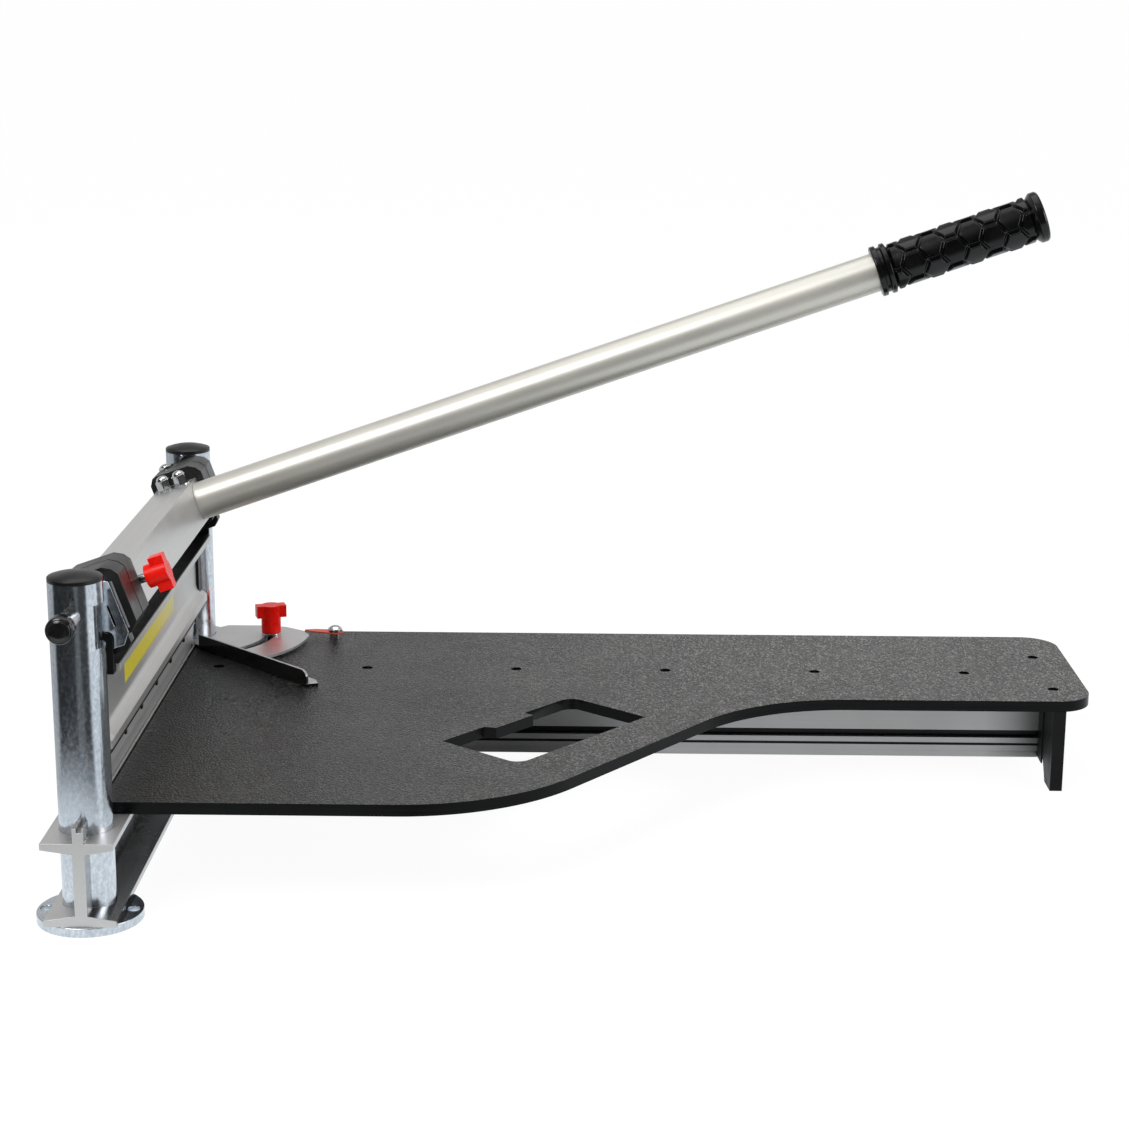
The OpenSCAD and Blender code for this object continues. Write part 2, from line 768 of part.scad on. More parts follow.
module lift_bracket(far) {
    left = lift_pin_x - lift_w / 2;
    low = carrier_roof;
    pin_z = pivot_z - lift_pin_drop;
    color("#2a2a2a") on_side(far) difference() {
        union() {
            translate([left, -post_y + lift_in, low]) cube([lift_w, lift_t, pin_z - low]);
            translate([left, -post_y + lift_in, low]) cube([lift_w, end_in - lift_in, carrier_top - slide_gap - low]);
            translate([lift_pin_x, 0, pin_z]) rod_y(lift_w, -post_y + lift_in, -post_y + lift_in + lift_t);
        }
        translate([lift_pin_x, 0, pin_z])
            rod_y(lift_pin_d + 2 * press, -post_y + lift_in - eps, -post_y + lift_in + lift_t + eps);
    }
}

module lift_pin(far) {
    color("silver") on_side(far) translate([lift_pin_x, 0, pivot_z - lift_pin_drop])
        rod_y(lift_pin_d, -post_y + lift_in, -post_y + bar_in - slide_gap);
}

module lever_bar() {
    inner = bar_w - 2 * bar_wall;
    color("gainsboro") in_lever() difference() {
        along_y(-bar_half, bar_half) translate([bar_fwd, -bar_drop]) difference() {
            square(bar_w, center = true);
            square(inner, center = true);
        }
        translate([bar_fwd, handle_y, -bar_drop]) rotate([0, 90, 0])
            cylinder(d = spigot_d + 2 * running, h = bar_w);
        handle_bolt_holes(bar_top - bar_wall - eps, bar_top + eps);
        sleeve_bolt_hole();
        translate([bar_fwd, lock_y, lock_p]) rotate([0, 90, 0])
            cylinder(d = lock_stud_d + 2 * running, h = bar_w);
    }
}

// Outline of a rocker plate in the lever's frame, with its lift slot
module rocker_outline() {
    angles = [for (i = [0:slot_steps]) swing * i / slot_steps];
    difference() {
        polygon([
            [bar_left - 1, -rocker_low + 7], [bar_left + 5, -rocker_low], [bar_right - 6, -rocker_low],
            [bar_right - 0.7, -rocker_low + 7], [bar_right - 0.7, rocker_top - 4], [bar_right - 8, rocker_top],
            [bar_left + 5, rocker_top], [bar_left - 1, rocker_top - 6]
        ]);
        circle(d = pivot_d + 2 * running);
        translate([bar_right - 7.6, -rocker_low + 13]) square([1.2, 14]);
        polygon(concat(
            [for (a = angles) pin_at(a) + slot_across(a) * slot_w / 2],
            [for (i = [slot_steps:-1:0]) pin_at(angles[i]) - slot_across(angles[i]) * slot_w / 2]
        ));
        for (a = [0, swing]) translate(pin_at(a)) circle(d = slot_w);
    }
}

module rocker(far) {
    color("darkgray") on_side(far) in_lever() along_y(-post_y + rocker_in, -post_y + bar_in) rocker_outline();
}

// Outline of a sleeve round the bar, grown at the side and the top;
// its back lower corner is cut so that it swings clear of the carrier
module sleeve_outline(grow) {
    c = sleeve_chamfer;
    right = sleeve_right + grow;
    top = sleeve_top + grow;
    difference() {
        polygon([
            [sleeve_back, sleeve_low + 8], [sleeve_back, top - c], [sleeve_back + c / 2, top - c / 6],
            [sleeve_back + c, top], [right - 1.4 * c, top], [right - c / 2, top - c / 2], [right, top - 1.2 * c],
            [right, sleeve_low + c], [right - c, sleeve_low], [sleeve_back + 4, sleeve_low]
        ]);
        translate([bar_fwd, -bar_drop]) square(bar_w + 2 * sleeve_fit, center = true);
    }
}

module sleeve(far) {
    outer = -post_y + bar_in;
    band = sleeve_len / sleeve_bands;
    floor_p = bar_low - sleeve_fit;
    color("#2b2b2b") on_side(far) in_lever() difference() {
        union() {
            for (i = [0:sleeve_bands - 1]) {
                from = outer + i * band;
                groove = i > 0 ? sleeve_groove : 0;
                along_y(from + groove, from + band) sleeve_outline(0);
                if (i > 0) along_y(from - groove, from + 2 * groove) sleeve_outline(-groove_deep);
            }
            along_y(outer, outer + lobe_t) polygon([
                [bar_fwd - 7.5, floor_p], [bar_fwd - 7.5, lobe_low + 4], [bar_fwd - 3.5, lobe_low],
                [bar_right - 7, lobe_low], [bar_right - 3, lobe_low + 4], [bar_right - 3, floor_p]
            ]);
        }
        if (far) mirror([0, 1, 0]) sleeve_bolt_hole();
    }
}

// Hole and pocket for the bolt through the top of the far sleeve
module sleeve_bolt_hole() {
    translate([sleeve_bolt_x, sleeve_bolt_y, -bar_drop])
        cylinder(d = handle_bolt_d + 2 * press, h = bar_w);
    translate([sleeve_bolt_x, sleeve_bolt_y, sleeve_top - sleeve_pocket])
        cylinder(d = bolt_head_d + 2, h = sleeve_pocket + 1);
}

module sleeve_bolt() {
    low = bar_top - bar_wall - 4;
    color("silver") in_lever() translate([sleeve_bolt_x, sleeve_bolt_y, 0]) {
        translate([0, 0, low]) cylinder(d = handle_bolt_d, h = sleeve_top - sleeve_pocket - low);
        translate([0, 0, sleeve_top - sleeve_pocket]) cylinder(d = bolt_head_d, h = 0.7 * bolt_head_h, $fn = 6);
    }
}

// Handle bolts stand on the bar: two through the handle's root
module handle_bolt_holes(p0, p1) {
    for (a = [bolt_first, bolt_second])
        translate([a, handle_y, p0]) cylinder(d = handle_bolt_d + 2 * press, h = p1 - p0);
}

module handle_tube() {
    reach = grip_start + grip_len - 6 - bar_right;
    color("#c9c5ba") in_lever() translate([bar_right, handle_y, -bar_drop]) rotate([0, 90, 0]) difference() {
        cylinder(d = handle_d, h = reach);
        translate([0, 0, -eps]) cylinder(d = handle_d - 2 * handle_wall, h = reach + 2 * eps);
    }
}

module handle_spigot() {
    color("silver") in_lever() difference() {
        translate([handle_in, handle_y, -bar_drop]) rotate([0, 90, 0])
            cylinder(d = spigot_d, h = spigot_end - handle_in);
        handle_bolt_holes(-bar_drop, bar_top);
    }
}

module grip() {
    r = grip_d / 2;
    c = collar_h;
    color("#161616") in_lever() translate([grip_start, handle_y, -bar_drop]) rotate([0, 90, 0]) difference() {
        rotate_extrude() polygon([
            [0, 0], [r + c - 0.8, 0], [r + c, 0.8], [r + c, 4], [r + 0.6, 4.6], [r + 0.6, 7], [r + c, 7.6],
            [r + c, 11], [r, 12], [r, grip_len - 9], [r + c, grip_len - 5], [r + c, grip_len - 1.6],
            [r + c - 1.6, grip_len], [0, grip_len]
        ]);
        translate([0, 0, -eps]) cylinder(d = handle_d + 2 * press, h = grip_len - 6 + eps + slide_gap);
    }
}

module handle_bolts() {
    color("silver") in_lever() for (a = [bolt_first, bolt_second]) translate([a, handle_y, 0]) {
        translate([0, 0, -bar_drop]) cylinder(d = handle_bolt_d, h = bar_top + bolt_stand + bar_drop);
        translate([0, 0, bar_top + bolt_stand]) cylinder(d = bolt_head_d, h = bolt_head_h, $fn = 6);
    }
}

// A T-shaped knob standing on its axis, its round stem carried up through the cross bar
module t_knob(stem_h, bore_d, bore_len) {
    difference() {
        union() {
            cylinder(d = knob_stem_d, h = stem_h + knob_bar_h);
            translate([-knob_bar_len / 2, -knob_bar_t / 2, stem_h]) cube([knob_bar_len, knob_bar_t, knob_bar_h]);
        }
        translate([0, 0, -eps]) cylinder(d = bore_d + 2 * running, h = bore_len + eps);
    }
}

// The lock knob's axis, square to the side of the bar
module on_lock() {
    in_lever() translate([bar_right, lock_y, lock_p]) rotate([0, 90, 0]) children();
}

module lock_stud() {
    color("silver") on_lock() translate([0, 0, -bar_wall - 2])
        cylinder(d = lock_stud_d, h = bar_wall + 2 + lock_stand + lock_stem_h);
}

module lock_knob() {
    color("red") on_lock() translate([0, 0, lock_stand]) t_knob(lock_stem_h, lock_stud_d, lock_stem_h + 1);
}

module fence_knob() {
    color("red") translate([stud_x, stud_y, plate_high + washer_t]) rotate(knob_turn)
        t_knob(fence_stem_h, stud_d, fence_stem_h - 2.5);
}

module fence_bar() {
    end_round = fence_h / 2;
    color("#202020") in_fence() difference() {
        union() {
            translate([0, -fence_face, 0]) along_y(0, fence_t) difference() {
                translate([fence_start, fence_low]) square([fence_len, fence_h]);
                translate([fence_start + fence_len - end_round, fence_low + fence_h - end_round]) difference() {
                    square(end_round + eps);
                    circle(r = end_round);
                }
            }
            translate([0, 0, fence_low]) linear_extrude(fence_t) polygon([
                [fence_start, -fence_face], [fence_start + fence_len, -fence_face],
                [fence_start + fence_len + 4, -fence_face + 8],
                [fence_start + fence_len - 4, fence_foot_w - fence_face], [fence_start, fence_foot_w - fence_face]
            ]);
        }
        rivet_holes(fence_low - eps, fence_low + fence_t + eps);
    }
}

// Places of the rivets along the fence's foot
function rivet_places() = [for (i = [0, 1]) [rivet_first + i * rivet_gap, (fence_foot_w + fence_t) / 2 - fence_face]];

module rivet_holes(z0, z1) {
    for (p = rivet_places()) translate([p[0], p[1], z0]) cylinder(d = 4 + 2 * press, h = z1 - z0);
}

module angle_plate() {
    slot_from = stud_angle - fence_swing + 45 - slot_margin;
    slot_to = stud_angle + 45 + slot_margin;
    clear = stud_d + 2 * slide_gap + 0.6;
    edge = fence_t - fence_face + slide_gap;
    wide = plate_r + 4;
    color("lightgray") difference() {
        in_fence() translate([0, 0, plate_low]) linear_extrude(plate_t) difference() {
            union() {
                circle(r = ring_r);
                intersection() {
                    circle(r = plate_r);
                    polygon([[ring_r / 2, edge], [wide, edge], [wide, wide], [0, wide], [0, ring_r]]);
                    rotate(45) polygon(concat(
                        [[-wide, plate_far], [-wide, -wide], [wide, -wide]],
                        [for (c = plate_corner) [plate_r - c[0], plate_far - c[1]]]
                    ));
                }
            }
            circle(r = post_r + slide_gap);
            polygon(concat(
                arc(0, 0, slot_r + clear / 2, slot_from, slot_to, 24),
                arc(0, 0, slot_r - clear / 2, slot_to, slot_from, 24)
            ));
            for (a = [slot_from, slot_to]) rotate(a) translate([slot_r, 0]) circle(d = clear - 2 * running);
        }
        in_fence() rivet_holes(plate_low - eps, plate_high + eps);
    }
}

module fence_rivets() {
    color("#303030") in_fence() for (p = rivet_places()) translate([p[0], p[1], 0]) {
        translate([0, 0, fence_low]) cylinder(d = 4, h = plate_high - fence_low);
        translate([0, 0, plate_high]) cylinder(d1 = 6.5, d2 = 4.5, h = 1.2);
    }
}

base_rail();
post(false);  // near_post
post(true);  // far_post
foot(false);  // near_foot
foot(true);  // far_foot
cap(false);  // near_cap
cap(true);  // far_cap
post_bush(false);  // near_post_bush
post_bush(true);  // far_post_bush
pivot_bolt(false);  // near_pivot_bolt
pivot_bolt(true);  // far_pivot_bolt
pivot_collar(false);  // near_pivot_collar
pivot_collar(true);  // far_pivot_collar
pivot_cap(false);  // near_pivot_cap
pivot_cap(true);  // far_pivot_cap
table();
support_rail();
leg();
table_screws();
leg_screws();
fence_stud();
fence_washer();
pointer();
pointer_spacer();
pointer_screw();
blade_carrier();
end_plate(false);  // near_end_plate
end_plate(true);  // far_end_plate
carrier_strip();
blade();
blade_clamp();
blade_screws();
guide(false);  // near_guide
guide(true);  // far_guide
lift_bracket(false);  // near_lift_bracket
lift_bracket(true);  // far_lift_bracket
lift_pin(false);  // near_lift_pin
lift_pin(true);  // far_lift_pin
lever_bar();
rocker(false);  // near_rocker
rocker(true);  // far_rocker
sleeve(false);  // near_sleeve
sleeve(true);  // far_sleeve
handle_tube();
handle_spigot();
grip();
handle_bolts();
sleeve_bolt();
lock_stud();
lock_knob();
fence_bar();
angle_plate();
fence_rivets();
fence_knob();
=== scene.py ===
"""Laminate cutter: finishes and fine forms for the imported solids, with light, a floor and the camera."""
import json
import math

import bmesh
import bpy
import numpy as np
from mathutils import Matrix, Vector


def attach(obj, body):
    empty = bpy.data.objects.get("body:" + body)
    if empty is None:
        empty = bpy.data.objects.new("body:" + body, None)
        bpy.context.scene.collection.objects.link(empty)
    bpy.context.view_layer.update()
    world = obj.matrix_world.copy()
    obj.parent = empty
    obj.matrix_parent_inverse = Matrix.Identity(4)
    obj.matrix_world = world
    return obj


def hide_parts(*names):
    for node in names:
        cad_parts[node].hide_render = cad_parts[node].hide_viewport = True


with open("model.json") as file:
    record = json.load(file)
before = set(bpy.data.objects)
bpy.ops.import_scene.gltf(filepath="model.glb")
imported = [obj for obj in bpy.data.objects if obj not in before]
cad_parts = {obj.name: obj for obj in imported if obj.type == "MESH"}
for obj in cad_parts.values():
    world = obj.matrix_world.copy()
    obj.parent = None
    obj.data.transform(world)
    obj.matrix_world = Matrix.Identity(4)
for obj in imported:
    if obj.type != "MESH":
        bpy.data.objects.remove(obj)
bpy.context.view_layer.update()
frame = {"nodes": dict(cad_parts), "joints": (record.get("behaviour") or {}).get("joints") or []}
nodes = frame["nodes"]
joints = {joint["name"]: joint for joint in frame["joints"]}
scene = bpy.context.scene

MM = 0.001
SIDES = ("near", "far")

# Camera of the photograph, fitted to the posts, the bar and the table, in pixels of a square picture
FOCAL_PX = 2313.89
SIDE_PX = 1129.0
YAW = math.radians(-0.767)
PITCH = math.radians(14.172)
ROLL = math.radians(0.292)
EYE = Vector((0.31525, -1.55323, 0.57351))
SENSOR = 36.0
FARTHEST = 2000.0

# The floor lies just under the feet and reaches to the horizon
FLOOR_HALF = 600.0
FLOOR_HEIGHT = -0.0002

# The lever's own frame: along the handle, as the lock stud lies, across the cutter and square to both
PIVOT = np.array(joints["lever_swing"]["pos_m"])
ALONG = np.array(joints["lock_knob_turn"]["axis"])
ACROSS = np.array((0.0, 1.0, 0.0))
SQUARE = np.cross(ALONG, ACROSS)
LEVER_AXES = np.stack([ALONG, ACROSS, SQUARE])


# Camera and lamps

def place_camera():
    """Looks from the eye point along the fitted yaw, pitch and roll."""
    ahead = Vector((math.sin(YAW) * math.cos(PITCH), math.cos(YAW) * math.cos(PITCH), -math.sin(PITCH)))
    level = Vector((math.cos(YAW), -math.sin(YAW), 0.0))
    upwards = level.cross(ahead)
    right = level * math.cos(ROLL) + upwards * math.sin(ROLL)
    up = upwards * math.cos(ROLL) - level * math.sin(ROLL)
    camera = bpy.data.objects.new("camera", bpy.data.cameras.new("camera"))
    camera.data.sensor_fit = "HORIZONTAL"
    camera.data.sensor_width = SENSOR
    camera.data.lens = FOCAL_PX / SIDE_PX * SENSOR
    camera.data.clip_end = FARTHEST
    columns = Matrix((right, up, -ahead)).transposed().to_4x4()
    camera.matrix_world = Matrix.Translation(EYE) @ columns
    scene.collection.objects.link(camera)
    scene.camera = camera


def add_softbox(name, place, target, size, watts):
    """A square soft lamp that looks at a point."""
    lamp = bpy.data.objects.new(name, bpy.data.lights.new(name, "AREA"))
    lamp.data.shape = "SQUARE"
    lamp.data.size = size
    lamp.data.energy = watts
    lamp.location = place
    lamp.rotation_euler = (Vector(target) - Vector(place)).to_track_quat("-Z", "Y").to_euler()
    scene.collection.objects.link(lamp)


def light_room():
    """A key in front, above and to the left, a wide light overhead and a weak one from the right."""
    add_softbox("key_light", (-0.75, -1.2, 1.9), (0.15, 0.0, 0.2), 1.1, 26.0)
    add_softbox("top_light", (0.25, 0.4, 2.3), (0.25, 0.0, 0.1), 1.8, 12.0)
    add_softbox("right_light", (2.2, -0.5, 0.9), (0.2, 0.0, 0.1), 0.9, 10.0)


# Values and shaders in a node tree

def grey(value, warm=0.0):
    """A grey colour, warmer or, below zero, cooler."""
    return (value * (1.0 + warm), value, value * (1.0 - warm))


def axes_of(tree, coordinates):
    """The X, Y and Z values of a place: Object is in metres, Generated is a ray's direction in the world."""
    place = tree.nodes.new("ShaderNodeTexCoord")
    split = tree.nodes.new("ShaderNodeSeparateXYZ")
    tree.links.new(place.outputs[coordinates], split.inputs[0])
    return split.outputs


def measured(tree, operation, point):
    """A floor point's product with a direction, or its distance from a point."""
    place = tree.nodes.new("ShaderNodeTexCoord")
    maths = tree.nodes.new("ShaderNodeVectorMath")
    maths.operation = operation
    maths.inputs[1].default_value = point
    tree.links.new(place.outputs["Object"], maths.inputs[0])
    return maths.outputs["Value"]


def ramp_of(tree, source, low, high, dark, light, course="SMOOTHSTEP"):
    """Carries a value between low and high to one between dark and light, with soft ends or evenly."""
    remap = tree.nodes.new("ShaderNodeMapRange")
    remap.interpolation_type = course
    remap.inputs["From Min"].default_value = low
    remap.inputs["From Max"].default_value = high
    remap.inputs["To Min"].default_value = dark
    remap.inputs["To Max"].default_value = light
    tree.links.new(source, remap.inputs["Value"])
    return remap.outputs["Result"]


def value_of(tree, operation, first, second):
    """Works out one value from two."""
    maths = tree.nodes.new("ShaderNodeMath")
    maths.operation = operation
    tree.links.new(first, maths.inputs[0])
    tree.links.new(second, maths.inputs[1])
    return maths.outputs[0]


def within(tree, source, middle, half, soft):
    """One where a value is within half of the middle, falling to zero over soft on both sides."""
    offset = tree.nodes.new("ShaderNodeMath")
    offset.operation = "SUBTRACT"
    offset.inputs[1].default_value = middle
    tree.links.new(source, offset.inputs[0])
    away = tree.nodes.new("ShaderNodeMath")
    away.operation = "ABSOLUTE"
    tree.links.new(offset.outputs[0], away.inputs[0])
    return ramp_of(tree, away.outputs[0], half, half + soft, 1.0, 0.0)


def seen_rays(tree):
    """One for rays that show a background: straight from the camera, mirrored or let through."""
    path = tree.nodes.new("ShaderNodeLightPath")
    bounced = value_of(tree, "MAXIMUM", path.outputs["Is Glossy Ray"], path.outputs["Is Transmission Ray"])
    return value_of(tree, "MAXIMUM", path.outputs["Is Camera Ray"], bounced)


def camera_or(tree, straight, other):
    """A strength for rays straight from the camera, and another for the rest."""
    path = tree.nodes.new("ShaderNodeLightPath")
    choice = tree.nodes.new("ShaderNodeMix")
    tree.links.new(path.outputs["Is Camera Ray"], choice.inputs["Factor"])
    tree.links.new(other, choice.inputs["A"])
    choice.inputs["B"].default_value = straight
    return choice.outputs["Result"]


def coloured(tree, kind, colour):
    """A shader of one kind and colour."""
    shader = tree.nodes.new(kind)
    shader.inputs["Color"].default_value = (*colour, 1.0)
    return shader


def mixed(tree, share, first, second):
    """The first shader where share is zero, the second where it is one."""
    mix = tree.nodes.new("ShaderNodeMixShader")
    tree.links.new(share, mix.inputs["Fac"])
    tree.links.new(first.outputs[0], mix.inputs[1])
    tree.links.new(second.outputs[0], mix.inputs[2])
    return mix


# World and floor

def mirrored_room(tree):
    """The room as metal sees it: white behind, a bright right wall, pale overhead and dark in front."""
    direction = axes_of(tree, "Generated")
    behind = ramp_of(tree, direction["Y"], -0.35, 0.25, 0.06, 0.95)
    rightwards = ramp_of(tree, direction["X"], -0.7, 0.6, 0.62, 1.0)
    right_wall = ramp_of(tree, direction["X"], 0.74, 0.9, 0.0, 0.85)
    low = ramp_of(tree, direction["Z"], 0.25, 0.6, 1.0, 0.42)
    overhead = ramp_of(tree, direction["Z"], 0.5, 0.9, 0.0, 0.5)
    walls = value_of(tree, "MAXIMUM", value_of(tree, "MULTIPLY", behind, rightwards), right_wall)
    return value_of(tree, "MAXIMUM", value_of(tree, "MULTIPLY", walls, low), overhead)


def light_world():
    """An even dim light for matt surfaces, white for the camera, and the room above for metal."""
    world = bpy.data.worlds.new("room")
    world.use_nodes = True
    scene.world = world
    tree = world.node_tree
    tree.nodes.clear()
    even = coloured(tree, "ShaderNodeBackground", grey(1.0))
    even.inputs["Strength"].default_value = 0.48
    seen = coloured(tree, "ShaderNodeBackground", grey(1.0))
    tree.links.new(camera_or(tree, 1.0, mirrored_room(tree)), seen.inputs["Strength"])
    out = tree.nodes.new("ShaderNodeOutputWorld")
    tree.links.new(mixed(tree, seen_rays(tree), even, seen).outputs[0], out.inputs["Surface"])


def mirrored_floor(tree):
    """The floor's glow as metal sees it: dark in front, a painted shadow under the table, and white
    elsewhere.

    A faint paler lane runs from the near post towards the camera, and the floor is white close to that post:
    these are painted light for the post to mirror.
    """
    place = axes_of(tree, "Object")
    behind = ramp_of(tree, place["Y"], -0.28, -0.12, 0.07, 1.0)
    right_front = ramp_of(tree, measured(tree, "DOT_PRODUCT", (0.57, 0.82, 0.0)), -0.21, -0.1, 0.07, 1.0)
    sideways = ramp_of(tree, place["X"], -0.45, 0.35, 0.5, 0.95)
    open_floor = value_of(tree, "MULTIPLY", value_of(tree, "MAXIMUM", behind, right_front), sideways)
    lane = within(tree, measured(tree, "DOT_PRODUCT", (0.974, 0.227, 0.0)), -0.045, 0.06, 0.12)
    open_floor = value_of(tree, "MAXIMUM", open_floor, ramp_of(tree, lane, 0.0, 1.0, 0.0, 0.18))
    # painted shadow: under the table the glow falls to a twentieth
    along = within(tree, place["X"], 0.13, 0.15, 0.12)
    across = within(tree, place["Y"], 0.02, 0.18, 0.08)
    table_shadow = value_of(tree, "MULTIPLY", along, across)
    lit = ramp_of(tree, table_shadow, 0.0, 1.0, 1.0, 0.05)
    by_post = ramp_of(tree, measured(tree, "DISTANCE", (-0.02, -0.22, 0.0)), 0.16, 0.38, 1.0, 0.0)
    return value_of(tree, "MAXIMUM", value_of(tree, "MULTIPLY", open_floor, lit), by_post)


def white_floor():
    """White with a faint shadow for the camera, the glow above for metal, and a pale bounce for the rest."""
    material = bpy.data.materials.new("white_floor")
    material.use_nodes = True
    tree = material.node_tree
    tree.nodes.clear()
    bounce = coloured(tree, "ShaderNodeBsdfDiffuse", grey(0.72))
    shadow = coloured(tree, "ShaderNodeBsdfDiffuse", grey(0.09))
    glow = coloured(tree, "ShaderNodeEmission", grey(1.0))
    glow.inputs["Strength"].default_value = 0.95
    white = tree.nodes.new("ShaderNodeAddShader")
    tree.links.new(glow.outputs[0], white.inputs[0])
    tree.links.new(shadow.outputs[0], white.inputs[1])
    mirrored = coloured(tree, "ShaderNodeEmission", (0.93, 0.975, 1.0))
    tree.links.new(mirrored_floor(tree), mirrored.inputs["Strength"])
    path = tree.nodes.new("ShaderNodeLightPath")
    seen = mixed(tree, path.outputs["Is Camera Ray"], mirrored, white)
    out = tree.nodes.new("ShaderNodeOutputMaterial")
    tree.links.new(mixed(tree, seen_rays(tree), bounce, seen).outputs[0], out.inputs["Surface"])
    return material


def lay_floor():
    """A wide flat square under the feet."""
    mesh = bpy.data.meshes.new("floor")
    corners = ((-1, -1), (1, -1), (1, 1), (-1, 1))
    places = [(x * FLOOR_HALF, y * FLOOR_HALF, FLOOR_HEIGHT) for x, y in corners]
    mesh.from_pydata(places, [], [(0, 1, 2, 3)])
    floor = bpy.data.objects.new("floor", mesh)
    scene.collection.objects.link(floor)
    mesh.materials.append(white_floor())


# Finishes

class Finish:
    """A node material on one shader, with its textures in metres on Object coordinates."""

    def __init__(self, name, **sockets):
        self.material = bpy.data.materials.new(name)
        self.material.use_nodes = True
        self.tree = self.material.node_tree
        self.shader = self.tree.nodes["Principled BSDF"]
        for socket, value in sockets.items():
            self.shader.inputs[socket.replace("_", " ")].default_value = value
        self.place = self.add("ShaderNodeTexCoord").outputs["Object"]
        self.normal = None

    def add(self, kind, **settings):
        """A new node with its settings."""
        node = self.tree.nodes.new(kind)
        for key, value in settings.items():
            setattr(node, key, value)
        return node

    def link(self, source, target):
        """Carries an output to an input."""
        self.tree.links.new(source, target)

    def scaled(self, sizes):
        """Object coordinates divided by a size in metres along each axis."""
        mapping = self.add("ShaderNodeMapping")
        mapping.inputs["Scale"].default_value = [1.0 / size for size in sizes]
        self.link(self.place, mapping.inputs["Vector"])
        return mapping.outputs["Vector"]

    def grain(self, sizes, detail=4.0, rough=0.55):
        """Cloudy noise whose lumps are about sizes metres across along X, Y and Z."""
        noise = self.add("ShaderNodeTexNoise")
        noise.inputs["Scale"].default_value = 1.0
        noise.inputs["Detail"].default_value = detail
        noise.inputs["Roughness"].default_value = rough
        self.link(self.scaled(sizes), noise.inputs["Vector"])
        return noise.outputs["Fac"]

    def lumps(self, size, detail=3.0):
        """Cloudy noise whose lumps are about size metres across every way."""
        return self.grain((size, size, size), detail)

    def pebbles(self, size):
        """Rounded cells about size metres across: high in the middle of each, low between them."""
        cells = self.add("ShaderNodeTexVoronoi", feature="SMOOTH_F1")
        cells.inputs["Scale"].default_value = 1.0
        cells.inputs["Smoothness"].default_value = 0.35
        self.link(self.scaled((size, size, size)), cells.inputs["Vector"])
        return self.spread(cells.outputs["Distance"], 1.0, 0.0, 0.1, 0.75)

    def glint_cells(self, sizes):
        """A random value for each of many cells, about sizes metres across along X, Y and Z."""
        cells = self.add("ShaderNodeTexVoronoi", feature="F1")
        cells.inputs["Scale"].default_value = 1.0
        self.link(self.scaled(sizes), cells.inputs["Vector"])
        parts = self.add("ShaderNodeSeparateColor")
        self.link(cells.outputs["Color"], parts.inputs["Color"])
        return parts.outputs["Red"]

    def spread(self, value, low, high, start=0.35, stop=0.65):
        """Carries a value between start and stop to a value between low and high."""
        return ramp_of(self.tree, value, start, stop, low, high, "LINEAR")

    def shade(self, value, *stops):
        """A run of colours over a value between 0 and 1, each with its position."""
        node = self.add("ShaderNodeValToRGB")
        elements = node.color_ramp.elements
        while len(elements) < len(stops):
            elements.new(0.5)
        for element, (position, colour) in zip(elements, stops):
            element.position = position
            element.color = (*colour, 1.0)
        self.link(value, node.inputs["Fac"])
        return node.outputs["Color"]

    def between(self, value, dark, light):
        """A colour from dark to light over the middle part of a value between 0 and 1."""
        return self.shade(value, (0.3, dark), (0.7, light))

    def tinted(self, colour, value, dark, light):
        """A colour source made darker or lighter by a value between 0 and 1."""
        node = self.add("ShaderNodeMix", data_type="RGBA", blend_type="MULTIPLY")
        node.inputs["Factor"].default_value = 1.0
        self.link(colour, node.inputs["A"])
        self.link(self.between(value, dark, light), node.inputs["B"])
        return node.outputs["Result"]

    def colour(self, source):
        """Sets the colour."""
        self.link(source, self.shader.inputs["Base Color"])

    def rough(self, source):
        """Sets the roughness."""
        self.link(source, self.shader.inputs["Roughness"])

    def bump(self, height, depth):
        """Raises the surface by up to depth metres, on top of the bumps that are set already."""
        node = self.add("ShaderNodeBump")
        node.inputs["Strength"].default_value = 1.0
        node.inputs["Distance"].default_value = depth
        self.link(height, node.inputs["Height"])
        if self.normal:
            self.link(self.normal, node.inputs["Normal"])
        self.normal = node.outputs["Normal"]
        self.link(self.normal, self.shader.inputs["Normal"])


# Sizes of the drawn lines on extrusions, and the places of the support rail's grooves and scored line, where
# shade is painted, in metres
LINES_ALONG_BLADE = (0.0007, 0.3, 0.0007)
LINES_ALONG_TABLE = (0.3, 0.0007, 0.0007)
SUPPORT_MIDDLE = 0.123
GROOVE_FLOOR = 0.0155
SCORE_HEIGHT = 0.019


def groove_and_leg_shade(finish):
    """Painted shade: one in the support rail's side grooves, along the scored line below them and close to
    the leg.
    """
    place = axes_of(finish.tree, "Object")
    deep = within(finish.tree, place["Y"], SUPPORT_MIDDLE, GROOVE_FLOOR, 0.0014)
    scored = within(finish.tree, place["Z"], SCORE_HEIGHT, 0.0006, 0.0008)
    by_leg = finish.spread(place["X"], 0.0, 0.55, 0.56, 0.65)
    return value_of(finish.tree, "MAXIMUM", value_of(finish.tree, "MAXIMUM", deep, scored), by_leg)


def satin_aluminium(name, streak, tone=0.63, groove_shade=False):
    """Extruded and matt: fine lines along the extrusion, faint clouds, and painted shade in a rail's grooves
    and by the leg.
    """
    finish = Finish(name, Metallic=0.72)
    lines = finish.grain(streak, 3.0)
    clouds = finish.lumps(0.05)
    tooth = finish.lumps(0.0012, 2.0)
    drawn = finish.between(lines, grey(tone * 0.95, 0.012), grey(tone * 1.05, 0.012))
    metal = finish.tinted(drawn, clouds, grey(0.95), grey(1.0))
    if groove_shade:
        # painted shade: the colour falls to a thirtieth in the grooves, on the scored line and towards the
        # leg
        metal = finish.tinted(metal, groove_and_leg_shade(finish), grey(1.0), grey(0.03))
    finish.colour(metal)
    finish.rough(finish.spread(clouds, 0.34, 0.44))
    finish.bump(lines, 0.000004)
    finish.bump(tooth, 0.000003)
    return finish.material


